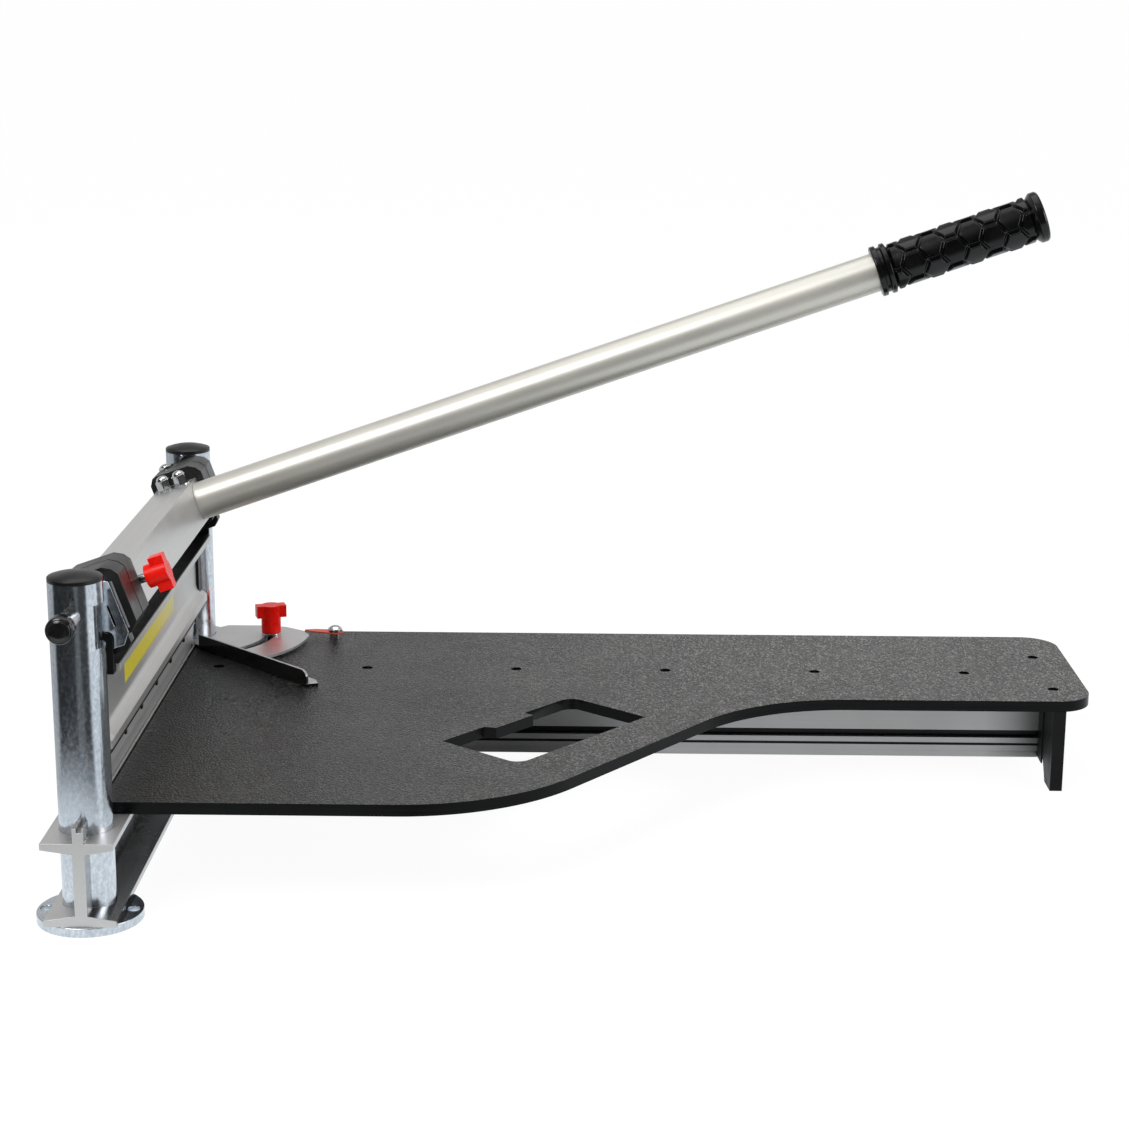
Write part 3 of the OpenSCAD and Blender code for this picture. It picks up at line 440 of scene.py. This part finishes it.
def flank_shade_aluminium():
    """Painted shade: a darker, shinier copy of drawn aluminium for the rail's flank, streaked and mirroring
    what is near.
    """
    finish = Finish("flank_shade_aluminium", Metallic=1.0)
    lines = finish.grain(LINES_ALONG_BLADE, 3.0)
    clouds = finish.lumps(0.03)
    finish.colour(finish.between(lines, grey(0.40), grey(0.50)))
    finish.rough(finish.spread(clouds, 0.2, 0.28))
    finish.bump(lines, 0.000006)
    return finish.material


def zinc_plate():
    """Bluish plating: small mottled crystals, slow clouds of tone and drawn lines up the tube."""
    finish = Finish("zinc_plate", Metallic=1.0)
    mottle = finish.grain((0.0022, 0.0022, 0.0034), 5.0, 0.62)
    clouds = finish.grain((0.02, 0.02, 0.06), 3.0)
    lines = finish.grain((0.0011, 0.0011, 0.05), 2.0)
    dark, middle, light = (0.50, 0.55, 0.62), (0.65, 0.685, 0.73), (0.83, 0.85, 0.87)
    crystals = finish.shade(mottle, (0.3, dark), (0.52, middle), (0.72, light))
    finish.colour(finish.tinted(crystals, clouds, grey(0.88, -0.02), grey(1.0)))
    finish.rough(finish.spread(mottle, 0.13, 0.22))
    finish.bump(mottle, 0.000014)
    finish.bump(lines, 0.000012)
    return finish.material


def bright_steel():
    """Turned steel: fine rings of tone and a soft polish."""
    finish = Finish("bright_steel", Metallic=1.0)
    lines = finish.grain((0.004, 0.004, 0.0004), 3.0)
    clouds = finish.lumps(0.01)
    finish.colour(finish.between(clouds, grey(0.52), grey(0.66)))
    finish.rough(finish.spread(lines, 0.18, 0.3))
    finish.bump(lines, 0.00001)
    return finish.material


def chrome():
    """Polished plating with faint haze."""
    finish = Finish("chrome", Metallic=1.0)
    haze = finish.lumps(0.004)
    finish.colour(finish.between(haze, grey(0.74, -0.01), grey(0.84, -0.01)))
    finish.rough(finish.spread(haze, 0.05, 0.12))
    finish.bump(haze, 0.00001)
    return finish.material


def ground_steel(name, streak, tone, metal=0.85):
    """Ground or rolled plate: lines one way, with clouds of tone."""
    finish = Finish(name, Metallic=metal)
    lines = finish.grain(streak, 3.0)
    clouds = finish.lumps(0.03)
    ground = finish.between(lines, grey(tone * 0.88), grey(tone * 1.06))
    finish.colour(finish.tinted(ground, clouds, grey(0.93), grey(1.0)))
    finish.rough(finish.spread(lines, 0.33, 0.45))
    finish.bump(lines, 0.00001)
    return finish.material


def handle_silver():
    """Champagne silver coat on the tube: fine metal flake under a smooth skin."""
    finish = Finish("handle_silver", Metallic=0.56)
    flake = finish.lumps(0.0005, 2.0)
    clouds = finish.grain((0.06, 0.03, 0.03), 3.0)
    coat = finish.between(flake, (0.68, 0.665, 0.60), (0.74, 0.725, 0.665))
    finish.colour(finish.tinted(coat, clouds, grey(0.96), grey(1.0)))
    finish.rough(finish.spread(clouds, 0.36, 0.43))
    finish.bump(flake, 0.000001)
    return finish.material


def fence_top_highlight():
    """A painted highlight for the fence's upward faces: a lighter grey, partly metallic, with darker patches.
    """
    finish = Finish("fence_top_highlight", Metallic=0.3)
    remains = finish.lumps(0.003, 4.0)
    finish.colour(finish.between(remains, grey(0.34), grey(0.6)))
    finish.rough(finish.spread(remains, 0.3, 0.45))
    finish.bump(remains, 0.00001)
    return finish.material


def dull_black():
    """Matt black coat with a fine tooth and a little dust."""
    finish = Finish("dull_black", Specular_IOR_Level=0.16)
    tooth = finish.lumps(0.0009)
    dust = finish.lumps(0.02, 4.0)
    finish.colour(finish.between(dust, grey(0.003), grey(0.009, 0.02)))
    finish.rough(finish.spread(dust, 0.42, 0.56))
    finish.bump(tooth, 0.00002)
    return finish.material


def black_plastic():
    """Moulded plastic with a fine spark-eroded grain and dull, dusty patches."""
    finish = Finish("black_plastic", Specular_IOR_Level=0.42)
    tooth = finish.lumps(0.0007)
    dust = finish.lumps(0.018, 4.0)
    moulded = finish.between(dust, grey(0.006, 0.02), grey(0.013, 0.02))
    finish.colour(finish.tinted(moulded, tooth, grey(0.8), grey(1.0)))
    finish.rough(finish.spread(dust, 0.30, 0.42))
    finish.bump(tooth, 0.00003)
    return finish.material


def gloss_black():
    """Polished black moulding for the pivot caps, with a faint swirl and ripples in its gloss."""
    finish = Finish("gloss_black", Specular_IOR_Level=0.6)
    swirl = finish.lumps(0.006)
    ripple = finish.lumps(0.002, 2.0)
    finish.colour(finish.between(swirl, grey(0.005), grey(0.010, 0.02)))
    finish.rough(finish.spread(swirl, 0.10, 0.18))
    finish.bump(ripple, 0.00002)
    return finish.material


def pebbled_board():
    """Black coated board: fine pebbles, pale specks that paint glints, and a painted sheen towards the outer
    end.
    """
    finish = Finish("pebbled_board", Specular_IOR_Level=0.4)
    pebbles = finish.pebbles(0.0014)
    glint_cells = finish.glint_cells((0.0010, 0.0019, 0.0019))
    rubbed = finish.lumps(0.06, 4.0)
    # painted sheen: the colour grows lighter towards the outer end
    outwards = finish.spread(axes_of(finish.tree, "Object")["X"], 0.0, 1.0, 0.0, 0.6)
    # the few pale cells are painted glints
    coat = finish.shade(glint_cells, (0.3, grey(0.006)), (0.72, grey(0.07, 0.03)), (0.97, grey(0.24, 0.03)))
    worn_with_glints = finish.tinted(coat, rubbed, grey(0.8), grey(1.0))
    finish.colour(finish.tinted(worn_with_glints, outwards, grey(0.24), grey(1.0)))
    finish.rough(finish.spread(rubbed, 0.26, 0.34))
    finish.bump(pebbles, 0.0005)
    return finish.material


def board_edge():
    """The sawn and coated edge of the board: black with faint lines along it."""
    finish = Finish("board_edge", Specular_IOR_Level=0.12)
    layers = finish.grain((0.08, 0.08, 0.0012), 3.0)
    clouds = finish.lumps(0.02)
    finish.colour(finish.between(layers, grey(0.001), grey(0.005)))
    finish.rough(finish.spread(clouds, 0.2, 0.3))
    finish.bump(layers, 0.00003)
    return finish.material


def black_paint():
    """Black coated steel: slight orange peel and greyer rubbed places."""
    finish = Finish("black_paint", Specular_IOR_Level=0.5)
    peel = finish.lumps(0.002)
    rubbed = finish.lumps(0.02, 4.0)
    finish.colour(finish.between(rubbed, grey(0.003), grey(0.008)))
    finish.rough(finish.spread(rubbed, 0.16, 0.24))
    finish.bump(peel, 0.000012)
    return finish.material


def gloss_red():
    """Moulded red plastic, with a faint swirl in its colour and a rippled gloss."""
    finish = Finish("gloss_red", Specular_IOR_Level=0.22)
    swirl = finish.lumps(0.008)
    ripple = finish.lumps(0.003, 2.0)
    finish.colour(finish.between(swirl, (0.90, 0.004, 0.001), (0.97, 0.010, 0.002)))
    finish.rough(finish.spread(swirl, 0.24, 0.34))
    finish.bump(ripple, 0.00001)
    return finish.material


def red_paint():
    """Red-orange coat on the pointer, thin enough to show a cloudy tone."""
    finish = Finish("red_paint", Specular_IOR_Level=0.45)
    clouds = finish.lumps(0.006)
    peel = finish.lumps(0.0015, 2.0)
    finish.colour(finish.between(clouds, (0.62, 0.05, 0.025), (0.78, 0.09, 0.05)))
    finish.rough(finish.spread(clouds, 0.3, 0.4))
    finish.bump(peel, 0.00002)
    return finish.material


def yellow_film():
    """Plain yellow film on the carrier, with a soft mottle, paler towards the handle."""
    finish = Finish("yellow_film", Specular_IOR_Level=0.4)
    mottle = finish.lumps(0.004, 4.0)
    # paler and less deep a yellow along Y towards the handle
    rubbed = finish.spread(axes_of(finish.tree, "Object")["Y"], 0.0, 1.0, 0.0, 0.06)
    film = finish.shade(rubbed, (0.0, (0.94, 0.80, 0.03)), (1.0, (0.92, 0.86, 0.30)))
    finish.colour(finish.tinted(film, mottle, grey(0.9), grey(1.0)))
    finish.rough(finish.spread(mottle, 0.34, 0.46))
    finish.bump(mottle, 0.000004)
    return finish.material


def grip_rubber():
    """Black rubber: close pores, a dull bloom in places and a soft gloss."""
    finish = Finish("grip_rubber", Specular_IOR_Level=0.36)
    pores = finish.lumps(0.0006)
    bloom = finish.lumps(0.012, 4.0)
    finish.colour(finish.between(bloom, grey(0.002), grey(0.004, 0.03)))
    finish.rough(finish.spread(bloom, 0.16, 0.24))
    finish.bump(pores, 0.000008)
    return finish.material


def mix_finishes():
    """Every finish, by the name that the pieces ask for."""
    return {
        "satin": satin_aluminium("satin_aluminium", LINES_ALONG_BLADE),
        # the support rail: aluminium with painted shade in its grooves and near the leg
        "groove_shade": satin_aluminium("aluminium_painted_groove_shade", LINES_ALONG_TABLE, 0.44, True),
        "carrier": satin_aluminium("carrier_aluminium", LINES_ALONG_BLADE, 0.54),
        # a darker copy of the rail's aluminium for its flank: painted shade
        "flank_shade": flank_shade_aluminium(),
        "zinc": zinc_plate(),
        "steel": bright_steel(),
        "chrome": chrome(),
        "blade": ground_steel("ground_steel", (0.0006, 0.08, 0.0006), 0.68, 0.45),
        "plate": ground_steel("plate_steel", (0.05, 0.0006, 0.05), 0.70),
        "silver": handle_silver(),
        # a lighter grey for the fence's upward faces: a painted highlight
        "rubbed": fence_top_highlight(),
        "dull": dull_black(),
        "plastic": black_plastic(),
        "gloss": gloss_black(),
        "board": pebbled_board(),
        "edge": board_edge(),
        "paint": black_paint(),
        "red": gloss_red(),
        "orange": red_paint(),
        "yellow": yellow_film(),
        "rubber": grip_rubber(),
    }


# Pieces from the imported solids

SHARP = math.radians(30.0)
FLAT = math.radians(0.5)
DOUBLES = 0.000002


def show(name, mesh, body, material):
    """Puts a mesh in the scene as a piece that rides on a body."""
    piece = bpy.data.objects.new(name, mesh)
    scene.collection.objects.link(piece)
    mesh.materials.clear()
    mesh.materials.append(material)
    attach(piece, body)
    return piece


def upright(normals):
    """Picks faces that stand upright."""
    return np.abs(normals[:, 2]) < 0.7


def facing_right(normals):
    """Picks faces that look along the table, or lean that way."""
    return normals[:, 0] > 0.1


def facing_up(normals):
    """Picks faces that look upwards, with the upper part of rounded corners."""
    return normals[:, 2] > 0.3


def merged_copy(node):
    """A copy of a node's mesh with its doubles merged, flat faces joined and sharp edges marked."""
    mesh = nodes[node].data.copy()
    mesh.name = node + "_eased"
    work = bmesh.new()
    work.from_mesh(mesh)
    bmesh.ops.remove_doubles(work, verts=work.verts, dist=DOUBLES)
    bmesh.ops.dissolve_limit(work, angle_limit=FLAT, verts=work.verts, edges=work.edges)
    work.to_mesh(mesh)
    work.free()
    mesh.set_sharp_from_angle(angle=SHARP)
    return mesh


def eased(node, body, material, width, segments=2, other=None, chosen=None):
    """Stands for a node with its sharp edges rounded by width mm.

    The faces that chosen picks by their normals take the finish other. Where the upright faces are picked,
    the level ones are shaded flat.
    """
    mesh = merged_copy(node)
    piece = show(node + "_eased", mesh, body, material)
    smooth = np.ones(len(mesh.polygons), dtype=bool)
    if chosen:
        normals = np.empty(3 * len(mesh.polygons))
        mesh.polygons.foreach_get("normal", normals)
        picked = chosen(normals.reshape(-1, 3))
        mesh.materials.append(other)
        mesh.polygons.foreach_set("material_index", picked.astype(np.int32))
        smooth = picked if chosen is upright else smooth
    mesh.polygons.foreach_set("use_smooth", smooth)
    bevel = piece.modifiers.new("edges", "BEVEL")
    bevel.width = width * MM
    bevel.segments = segments
    bevel.limit_method = "ANGLE"
    bevel.angle_limit = SHARP
    bevel.harden_normals = chosen is not upright
    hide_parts(node)


# Pieces from formulas

def box_of(node, axes=np.eye(3), start=np.zeros(3)):
    """The low corner, middle and high corner of a node's solid along three axes, in mm from a start."""
    mesh = nodes[node].data
    places = np.empty(3 * len(mesh.vertices))
    mesh.vertices.foreach_get("co", places)
    own = (places.reshape(-1, 3) - start) @ axes.T / MM
    low = own.min(axis=0)
    high = own.max(axis=0)
    return low, (low + high) / 2.0, high


def in_lever(along, square, y):
    """Points of the lever's frame, in mm from the pivot, as points of the scene in metres."""
    place = np.multiply.outer(along, ALONG) + np.multiply.outer(square, SQUARE)
    return PIVOT + MM * (place + np.multiply.outer(y, ACROSS))


def full_turn(count):
    """Angles all the way round, without the last that meets the first."""
    return np.linspace(0.0, 2.0 * math.pi, count, endpoint=False)


def smooth_step(value, low, high):
    """Rises from 0 to 1 between low and high with level ends."""
    t = np.clip((value - low) / (high - low), 0.0, 1.0)
    return t * t * (3.0 - 2.0 * t)


def surface(name, points, round_row=False, sharp=40.0):
    """Quads over an array of points, row by row; round_row joins each row's end to its start.

    Rows that shrink to one point close a pole: their points are merged, and the normals turned outwards.
    """
    rows, columns = points.shape[:2]
    index = np.arange(rows * columns).reshape(rows, columns)
    if round_row:
        index = np.concatenate([index, index[:, :1]], axis=1)
    quads = np.stack([index[:-1, :-1], index[:-1, 1:], index[1:, 1:], index[1:, :-1]], axis=-1)
    mesh = bpy.data.meshes.new(name)
    mesh.from_pydata(points.reshape(-1, 3).tolist(), [], quads.reshape(-1, 4).tolist())
    work = bmesh.new()
    work.from_mesh(mesh)
    bmesh.ops.remove_doubles(work, verts=work.verts, dist=0.000001)
    bmesh.ops.dissolve_degenerate(work, edges=work.edges, dist=0.0000001)
    bmesh.ops.recalc_face_normals(work, faces=work.faces)
    work.to_mesh(mesh)
    work.free()
    mesh.polygons.foreach_set("use_smooth", np.ones(len(mesh.polygons), dtype=bool))
    mesh.set_sharp_from_angle(angle=math.radians(sharp))
    return mesh


# Grip: places along it in mm from its start
GRIP_ROWS = 316
GRIP_COLUMNS = 288
TUBE_SKIN = 14.05
END_RING = 11.0
SLEEVE_FROM = 12.4
SLEEVE_TO = 115.4
PAD_FIRST = 27.5
PAD_STEP = 14.6
PADS_ROUND = 5
PAD_TURNS = (math.radians(68.0), math.radians(32.0))
PAD_RADIUS = 16.0
PAD_HEIGHT = 1.8
PAD_SIDE_RISE = 0.014
PAD_NARROWING = 8.7 / 9.3
PAD_TOP_EDGE = 6.8
PAD_FOOT_EDGE = 8.6
HEXAGON_TURN = math.radians(60.0)


def grip_radius(u, turn):
    """Radius in mm at u mm from the grip's start: the collars and the flare, plus hexagon pads on the sleeve.

    A pad stands where the largest of three distances from its middle, along the flats of a hexagon, is small.
    Its face is flatter than the sleeve, so it rises a little towards its sides.
    """
    collar_u = np.array([0.0, 0.5, 3.9, 4.7, 6.9, 7.7, 10.6, 12.2, 115.5, 119.2, 123.2, 124.6, 125.0])
    collar_r = np.array([17.4, 18.5, 18.5, 16.6, 16.6, 18.5, 18.5, 14.7, 14.7, 18.4, 18.5, 17.6, 16.6])
    radius = np.interp(u, collar_u, collar_r)
    column = np.round((u - PAD_FIRST) / PAD_STEP)
    gap = 2.0 * math.pi / PADS_ROUND
    height = np.zeros(np.broadcast(u, turn).shape)
    for step in (-1, 0, 1):
        place = column + step
        phase = np.where(np.mod(place, 2.0) < 0.5, *PAD_TURNS)
        round_mm = PAD_RADIUS * (np.mod(turn - phase + gap / 2.0, gap) - gap / 2.0)
        along_mm = u - (PAD_FIRST + PAD_STEP * place)
        flat = np.abs(round_mm)
        slant = math.cos(HEXAGON_TURN) * flat + math.sin(HEXAGON_TURN) * np.abs(along_mm)
        edge = np.maximum(PAD_NARROWING * flat, slant)
        face = PAD_HEIGHT + PAD_SIDE_RISE * round_mm ** 2
        height = np.maximum(height, face * (1.0 - smooth_step(edge, PAD_TOP_EDGE, PAD_FOOT_EDGE)))
    sleeve_start = smooth_step(u, SLEEVE_FROM, SLEEVE_FROM + 1.0)
    sleeve_end = smooth_step(u, SLEEVE_TO - 1.0, SLEEVE_TO)
    return radius + height * sleeve_start * (1.0 - sleeve_end)


def make_grip(material):
    """A tube of the radius above round the handle's axis, from the tube's skin to the closed end."""
    low, middle, high = box_of("grip", LEVER_AXES, PIVOT)
    length = high[0] - low[0]
    u = np.linspace(0.0, length, GRIP_ROWS)[:, None]
    turn = full_turn(GRIP_COLUMNS)[None, :]
    start = np.full((1, GRIP_COLUMNS), TUBE_SKIN)
    end = np.stack([np.full(GRIP_COLUMNS, END_RING), np.zeros(GRIP_COLUMNS)])
    radius = np.concatenate([start, grip_radius(u, turn), end])
    u = np.concatenate([np.zeros((1, 1)), u, np.full((2, 1), length)]) + 0.0 * turn
    square = middle[2] + radius * np.sin(turn)
    y = middle[1] - radius * np.cos(turn)
    mesh = surface("grip_padded", in_lever(low[0] + u, square, y), True)
    piece = show("grip_padded", mesh, "lever", material)
    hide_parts("grip")


# Film on the carrier's web, in mm
WEB_X = 7.4
FILM_LOW = 124.0
FILM_HIGH = 147.0
FILM_NEAR = -102.0
FILM_FAR = 78.0
FILM_RIM = 0.3
FILM_PROUD = 0.12
FILM_SUNK = 0.04


def film_places(low, high, inset, count):
    """Places from low to high: a narrow rim at both ends and count even steps between the insets."""
    inner = np.linspace(low + inset, high - inset, count)
    return np.concatenate([[low, low + FILM_RIM], inner, [high - FILM_RIM, high]])


def make_film(material):
    """A plain film: a rectangle just proud of the carrier's upright web, with a rim that sinks into it."""
    z = film_places(FILM_LOW, FILM_HIGH, 2.0, 5)
    y = film_places(FILM_NEAR, FILM_FAR, 4.0, 15)
    rim = np.minimum(1.0, np.minimum(z - FILM_LOW, FILM_HIGH - z) / FILM_RIM)
    end = np.minimum(1.0, np.minimum(y - FILM_NEAR, FILM_FAR - y) / FILM_RIM)
    proud = (FILM_PROUD + FILM_SUNK) * np.minimum.outer(end, rim) - FILM_SUNK
    points = np.stack([WEB_X + proud, y[:, None] + 0.0 * proud, z + 0.0 * proud], axis=-1) * MM
    mesh = surface("plain_film", points)
    facing = sum(polygon.normal.x for polygon in mesh.polygons)
    if facing < 0.0:
        mesh.flip_normals()
    show("plain_film", mesh, "carriage", material)


def make_pivot_cap(side, material):
    """A turned cap on the pivot's end: its radius over its length has a groove and a ringed, domed end."""
    low, middle, high = box_of(side + "_pivot_cap")
    run = np.array([0.0, 0.0, 0.6, 3.2, 3.5, 4.3, 4.6, 8.2, 9.2,
                    9.6, 9.5, 9.9, 10.2, 10.1, 10.4, 10.8, 11.0, 11.0])
    radius = np.array([0.0, 7.9, 8.5, 8.5, 7.9, 7.9, 8.5, 8.5, 8.1,
                       7.4, 7.0, 6.7, 6.2, 5.9, 5.5, 3.6, 1.6, 0.0])
    turn = full_turn(64)
    x = middle[0] + np.multiply.outer(radius, np.cos(turn))
    z = middle[2] + np.multiply.outer(radius, np.sin(turn))
    outwards = np.sign(middle[1])
    inner = middle[1] - outwards * (high[1] - low[1]) / 2.0
    y = (inner + outwards * run)[:, None] + 0.0 * x
    name = side + "_pivot_cap_turned"
    mesh = surface(name, np.stack([x, y, z], axis=-1) * MM, True)
    piece = show(name, mesh, "base", material)
    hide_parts(side + "_pivot_cap")


def make_cap(side, material):
    """A post's cap: a short rim as wide as the post and a domed top, turned round the post's axis."""
    low, middle, high = box_of(side + "_post")
    rim = (high[0] - low[0]) / 2.0
    rise = np.array([0.0, 0.0, 2.2, 2.7, 3.7, 4.6, 5.3, 5.7, 5.8])
    radius = np.array([0.0, rim, rim, 16.4, 13.4, 10.0, 6.4, 3.0, 0.0])
    turn = full_turn(96)
    x = middle[0] + np.multiply.outer(radius, np.cos(turn))
    y = middle[1] + np.multiply.outer(radius, np.sin(turn))
    z = (high[2] + rise)[:, None] + 0.0 * x
    name = side + "_cap_domed"
    mesh = surface(name, np.stack([x, y, z], axis=-1) * MM, True)
    piece = show(name, mesh, "base", material)
    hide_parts(side + "_cap")


# Cap nuts, in mm; the sleeve's stands in a pocket
NUT_FLAT = 4.9
BOLT_HEAD_RADIUS = 5.5
HANDLE_NUT_HEIGHT = 11.6
SLEEVE_NUT_HEIGHT = 6.4
SLEEVE_POCKET = 3.4


def make_cap_nut(name, along, y, foot, height, material):
    """A cap nut square to the bar: a round collar, a hexagon and a dome, each row at its part of the height.

    The hexagon's radius is the distance of its flats over the cosine of the turn from the nearest one.
    """
    part = np.array([0.0, 0.0, 0.1, 0.1, 0.66, 0.70, 0.72, 0.82, 0.91, 0.97, 1.0])
    limit = np.array([0.0, 6.3, 6.3, 9.0, 9.0, 5.2, 4.5, 4.2, 3.3, 1.9, 0.0])
    turn = full_turn(72)
    hexagon = NUT_FLAT / np.cos(np.mod(turn + math.pi / 6.0, math.pi / 3.0) - math.pi / 6.0)
    radius = np.minimum.outer(limit, hexagon)
    radius[:3] = limit[:3, None]
    square = (foot + height * part)[:, None] + 0.0 * radius
    points = in_lever(along + radius * np.cos(turn), square, y + radius * np.sin(turn))
    mesh = surface(name, points, True, 28.0)
    return show(name, mesh, "lever", material)


def make_nuts(material):
    """Two cap nuts over the handle's bolts, on the bar, and one over the bolt in the far sleeve."""
    bar_top = box_of("lever_bar", LEVER_AXES, PIVOT)[2][2]
    pocket_floor = box_of("far_sleeve", LEVER_AXES, PIVOT)[2][2] - SLEEVE_POCKET
    low, middle, high = box_of("handle_bolts", LEVER_AXES, PIVOT)
    on_bar = (middle[1], bar_top, HANDLE_NUT_HEIGHT, material)
    first = make_cap_nut("handle_nut_first", low[0] + BOLT_HEAD_RADIUS, *on_bar)
    make_cap_nut("handle_nut_second", high[0] - BOLT_HEAD_RADIUS, *on_bar)
    along, y = box_of("sleeve_bolt", LEVER_AXES, PIVOT)[1][:2]
    third = make_cap_nut("sleeve_nut", along, y, pocket_floor, SLEEVE_NUT_HEIGHT, material)
    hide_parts("handle_bolts")
    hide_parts("sleeve_bolt")


# Strips and pads in mm: their spans along X, Y and Z.
# The black strip along the clamp paints the shade under the carrier's lip.
END_PAD = ((648.7, 650.0), (87.0, 148.0), (9.6, 60.3))
TOP_STRIP = ((-12.2, 19.1), (-173.3, 173.3), (157.4, 159.0))
LIP_SHADE_STRIP = ((7.2, 8.3), (-170.0, 170.0), (93.8, 95.7))
CORNER = 0.25


def make_strip(name, spans, body, material):
    """A black strip or pad: a rectangle over X and Z, carried along Y and closed at its ends.

    Its rounded corners come from the cosine and sine of a turn, each raised to a small power.
    """
    low, high = np.transpose(spans)
    middle = (low + high) / 2.0
    half = (high - low) / 2.0
    turn = full_turn(48)
    across = np.sign(np.cos(turn)) * np.abs(np.cos(turn)) ** CORNER
    upward = np.sign(np.sin(turn)) * np.abs(np.sin(turn)) ** CORNER
    size = np.array([0.0, 1.0, 1.0, 0.0])[:, None]
    x = middle[0] + half[0] * size * across
    z = middle[2] + half[2] * size * upward
    y = np.array([low[1], low[1], high[1], high[1]])[:, None] + 0.0 * x
    mesh = surface(name, np.stack([x, y, z], axis=-1) * MM, True)
    return show(name, mesh, body, material)


# Dressing the cutter

def dress_sides(finish):
    """The pieces that come as a near and a far one."""
    for side in SIDES:
        eased(side + "_post", "base", finish["zinc"], 0.3)
        eased(side + "_foot", "base", finish["zinc"], 0.6)
        eased(side + "_post_bush", "base", finish["zinc"], 0.2)
        eased(side + "_pivot_bolt", "base", finish["steel"], 0.2)
        eased(side + "_pivot_collar", "base", finish["steel"], 0.3)
        eased(side + "_end_plate", "carriage", finish["satin"], 0.3)
        eased(side + "_guide", "carriage", finish["plastic"], 0.4)
        eased(side + "_lift_bracket", "carriage", finish["dull"], 0.3)
        eased(side + "_lift_pin", "carriage", finish["dull"], 0.3)
        eased(side + "_rocker", "lever", finish["zinc"], 0.4)
        eased(side + "_sleeve", "lever", finish["plastic"], 0.6)
    for side in SIDES:
        make_cap(side, finish["plastic"])
    for side in SIDES:
        make_pivot_cap(side, finish["gloss"])


def dress_base(finish):
    """The rails, the table with its leg and screws, the fence's stud and the pointer."""
    # the rail's faces that look along the table take the darker flank copy: painted shade
    eased("base_rail", "base", finish["satin"], 0.3, other=finish["flank_shade"], chosen=facing_right)
    # the support rail's finish paints shade into its grooves, along its scored line and near the leg
    eased("support_rail", "base", finish["groove_shade"], 0.4)
    eased("table", "base", finish["board"], 0.5, other=finish["edge"], chosen=upright)
    eased("leg", "base", finish["dull"], 0.4)
    make_strip("rail_end_pad", END_PAD, "base", finish["dull"])
    eased("table_screws", "base", finish["paint"], 0.3)
    eased("leg_screws", "base", finish["paint"], 0.3)
    eased("fence_stud", "base", finish["steel"], 0.3)
    eased("fence_washer", "base", finish["steel"], 0.2)
    eased("pointer", "base", finish["orange"], 0.2)
    eased("pointer_spacer", "base", finish["steel"], 0.2)
    eased("pointer_screw", "base", finish["chrome"], 0.2)


def dress_carriage(finish):
    """The blade's carrier with its strip, a black strip that paints the shade under its lip, the film, and
    the blade.
    """
    eased("blade_carrier", "carriage", finish["carrier"], 0.4)
    strip = make_strip("top_strip", TOP_STRIP, "carriage", finish["dull"])
    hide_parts("carrier_strip")
    # a black strip along the clamp, under the lip: painted shade
    make_strip("lip_shade_strip", LIP_SHADE_STRIP, "carriage", finish["dull"])
    eased("blade", "carriage", finish["blade"], 0.1)
    eased("blade_clamp", "carriage", finish["blade"], 0.3)
    eased("blade_screws", "carriage", finish["paint"], 0.3)
    make_film(finish["yellow"])


def dress_lever(finish):
    """The square bar, the handle with its nuts and grip, and the lock knob."""
    eased("lever_bar", "lever", finish["satin"], 0.8, 3)
    eased("handle_tube", "lever", finish["silver"], 0.4)
    eased("handle_spigot", "lever", finish["steel"], 0.2)
    make_nuts(finish["chrome"])
    make_grip(finish["rubber"])
    eased("lock_stud", "lock_knob", finish["steel"], 0.2)
    eased("lock_knob", "lock_knob", finish["red"], 1.4, 4)


def dress_fence(finish):
    """The fence bar with its plate and rivets, and the fence knob."""
    # the fence bar's upward faces take a lighter grey: a painted highlight
    eased("fence_bar", "fence", finish["paint"], 0.2, other=finish["rubbed"], chosen=facing_up)
    eased("angle_plate", "fence", finish["plate"], 0.25)
    eased("fence_rivets", "fence", finish["paint"], 0.3)
    eased("fence_knob", "fence_knob", finish["red"], 1.4, 4)


def dress():
    """Gives every node its finish, with eased edges or a finer form."""
    finish = mix_finishes()
    dress_sides(finish)
    dress_base(finish)
    dress_carriage(finish)
    dress_lever(finish)
    dress_fence(finish)


scene.view_settings.view_transform = "Standard"
place_camera()
light_room()
light_world()
lay_floor()
dress()
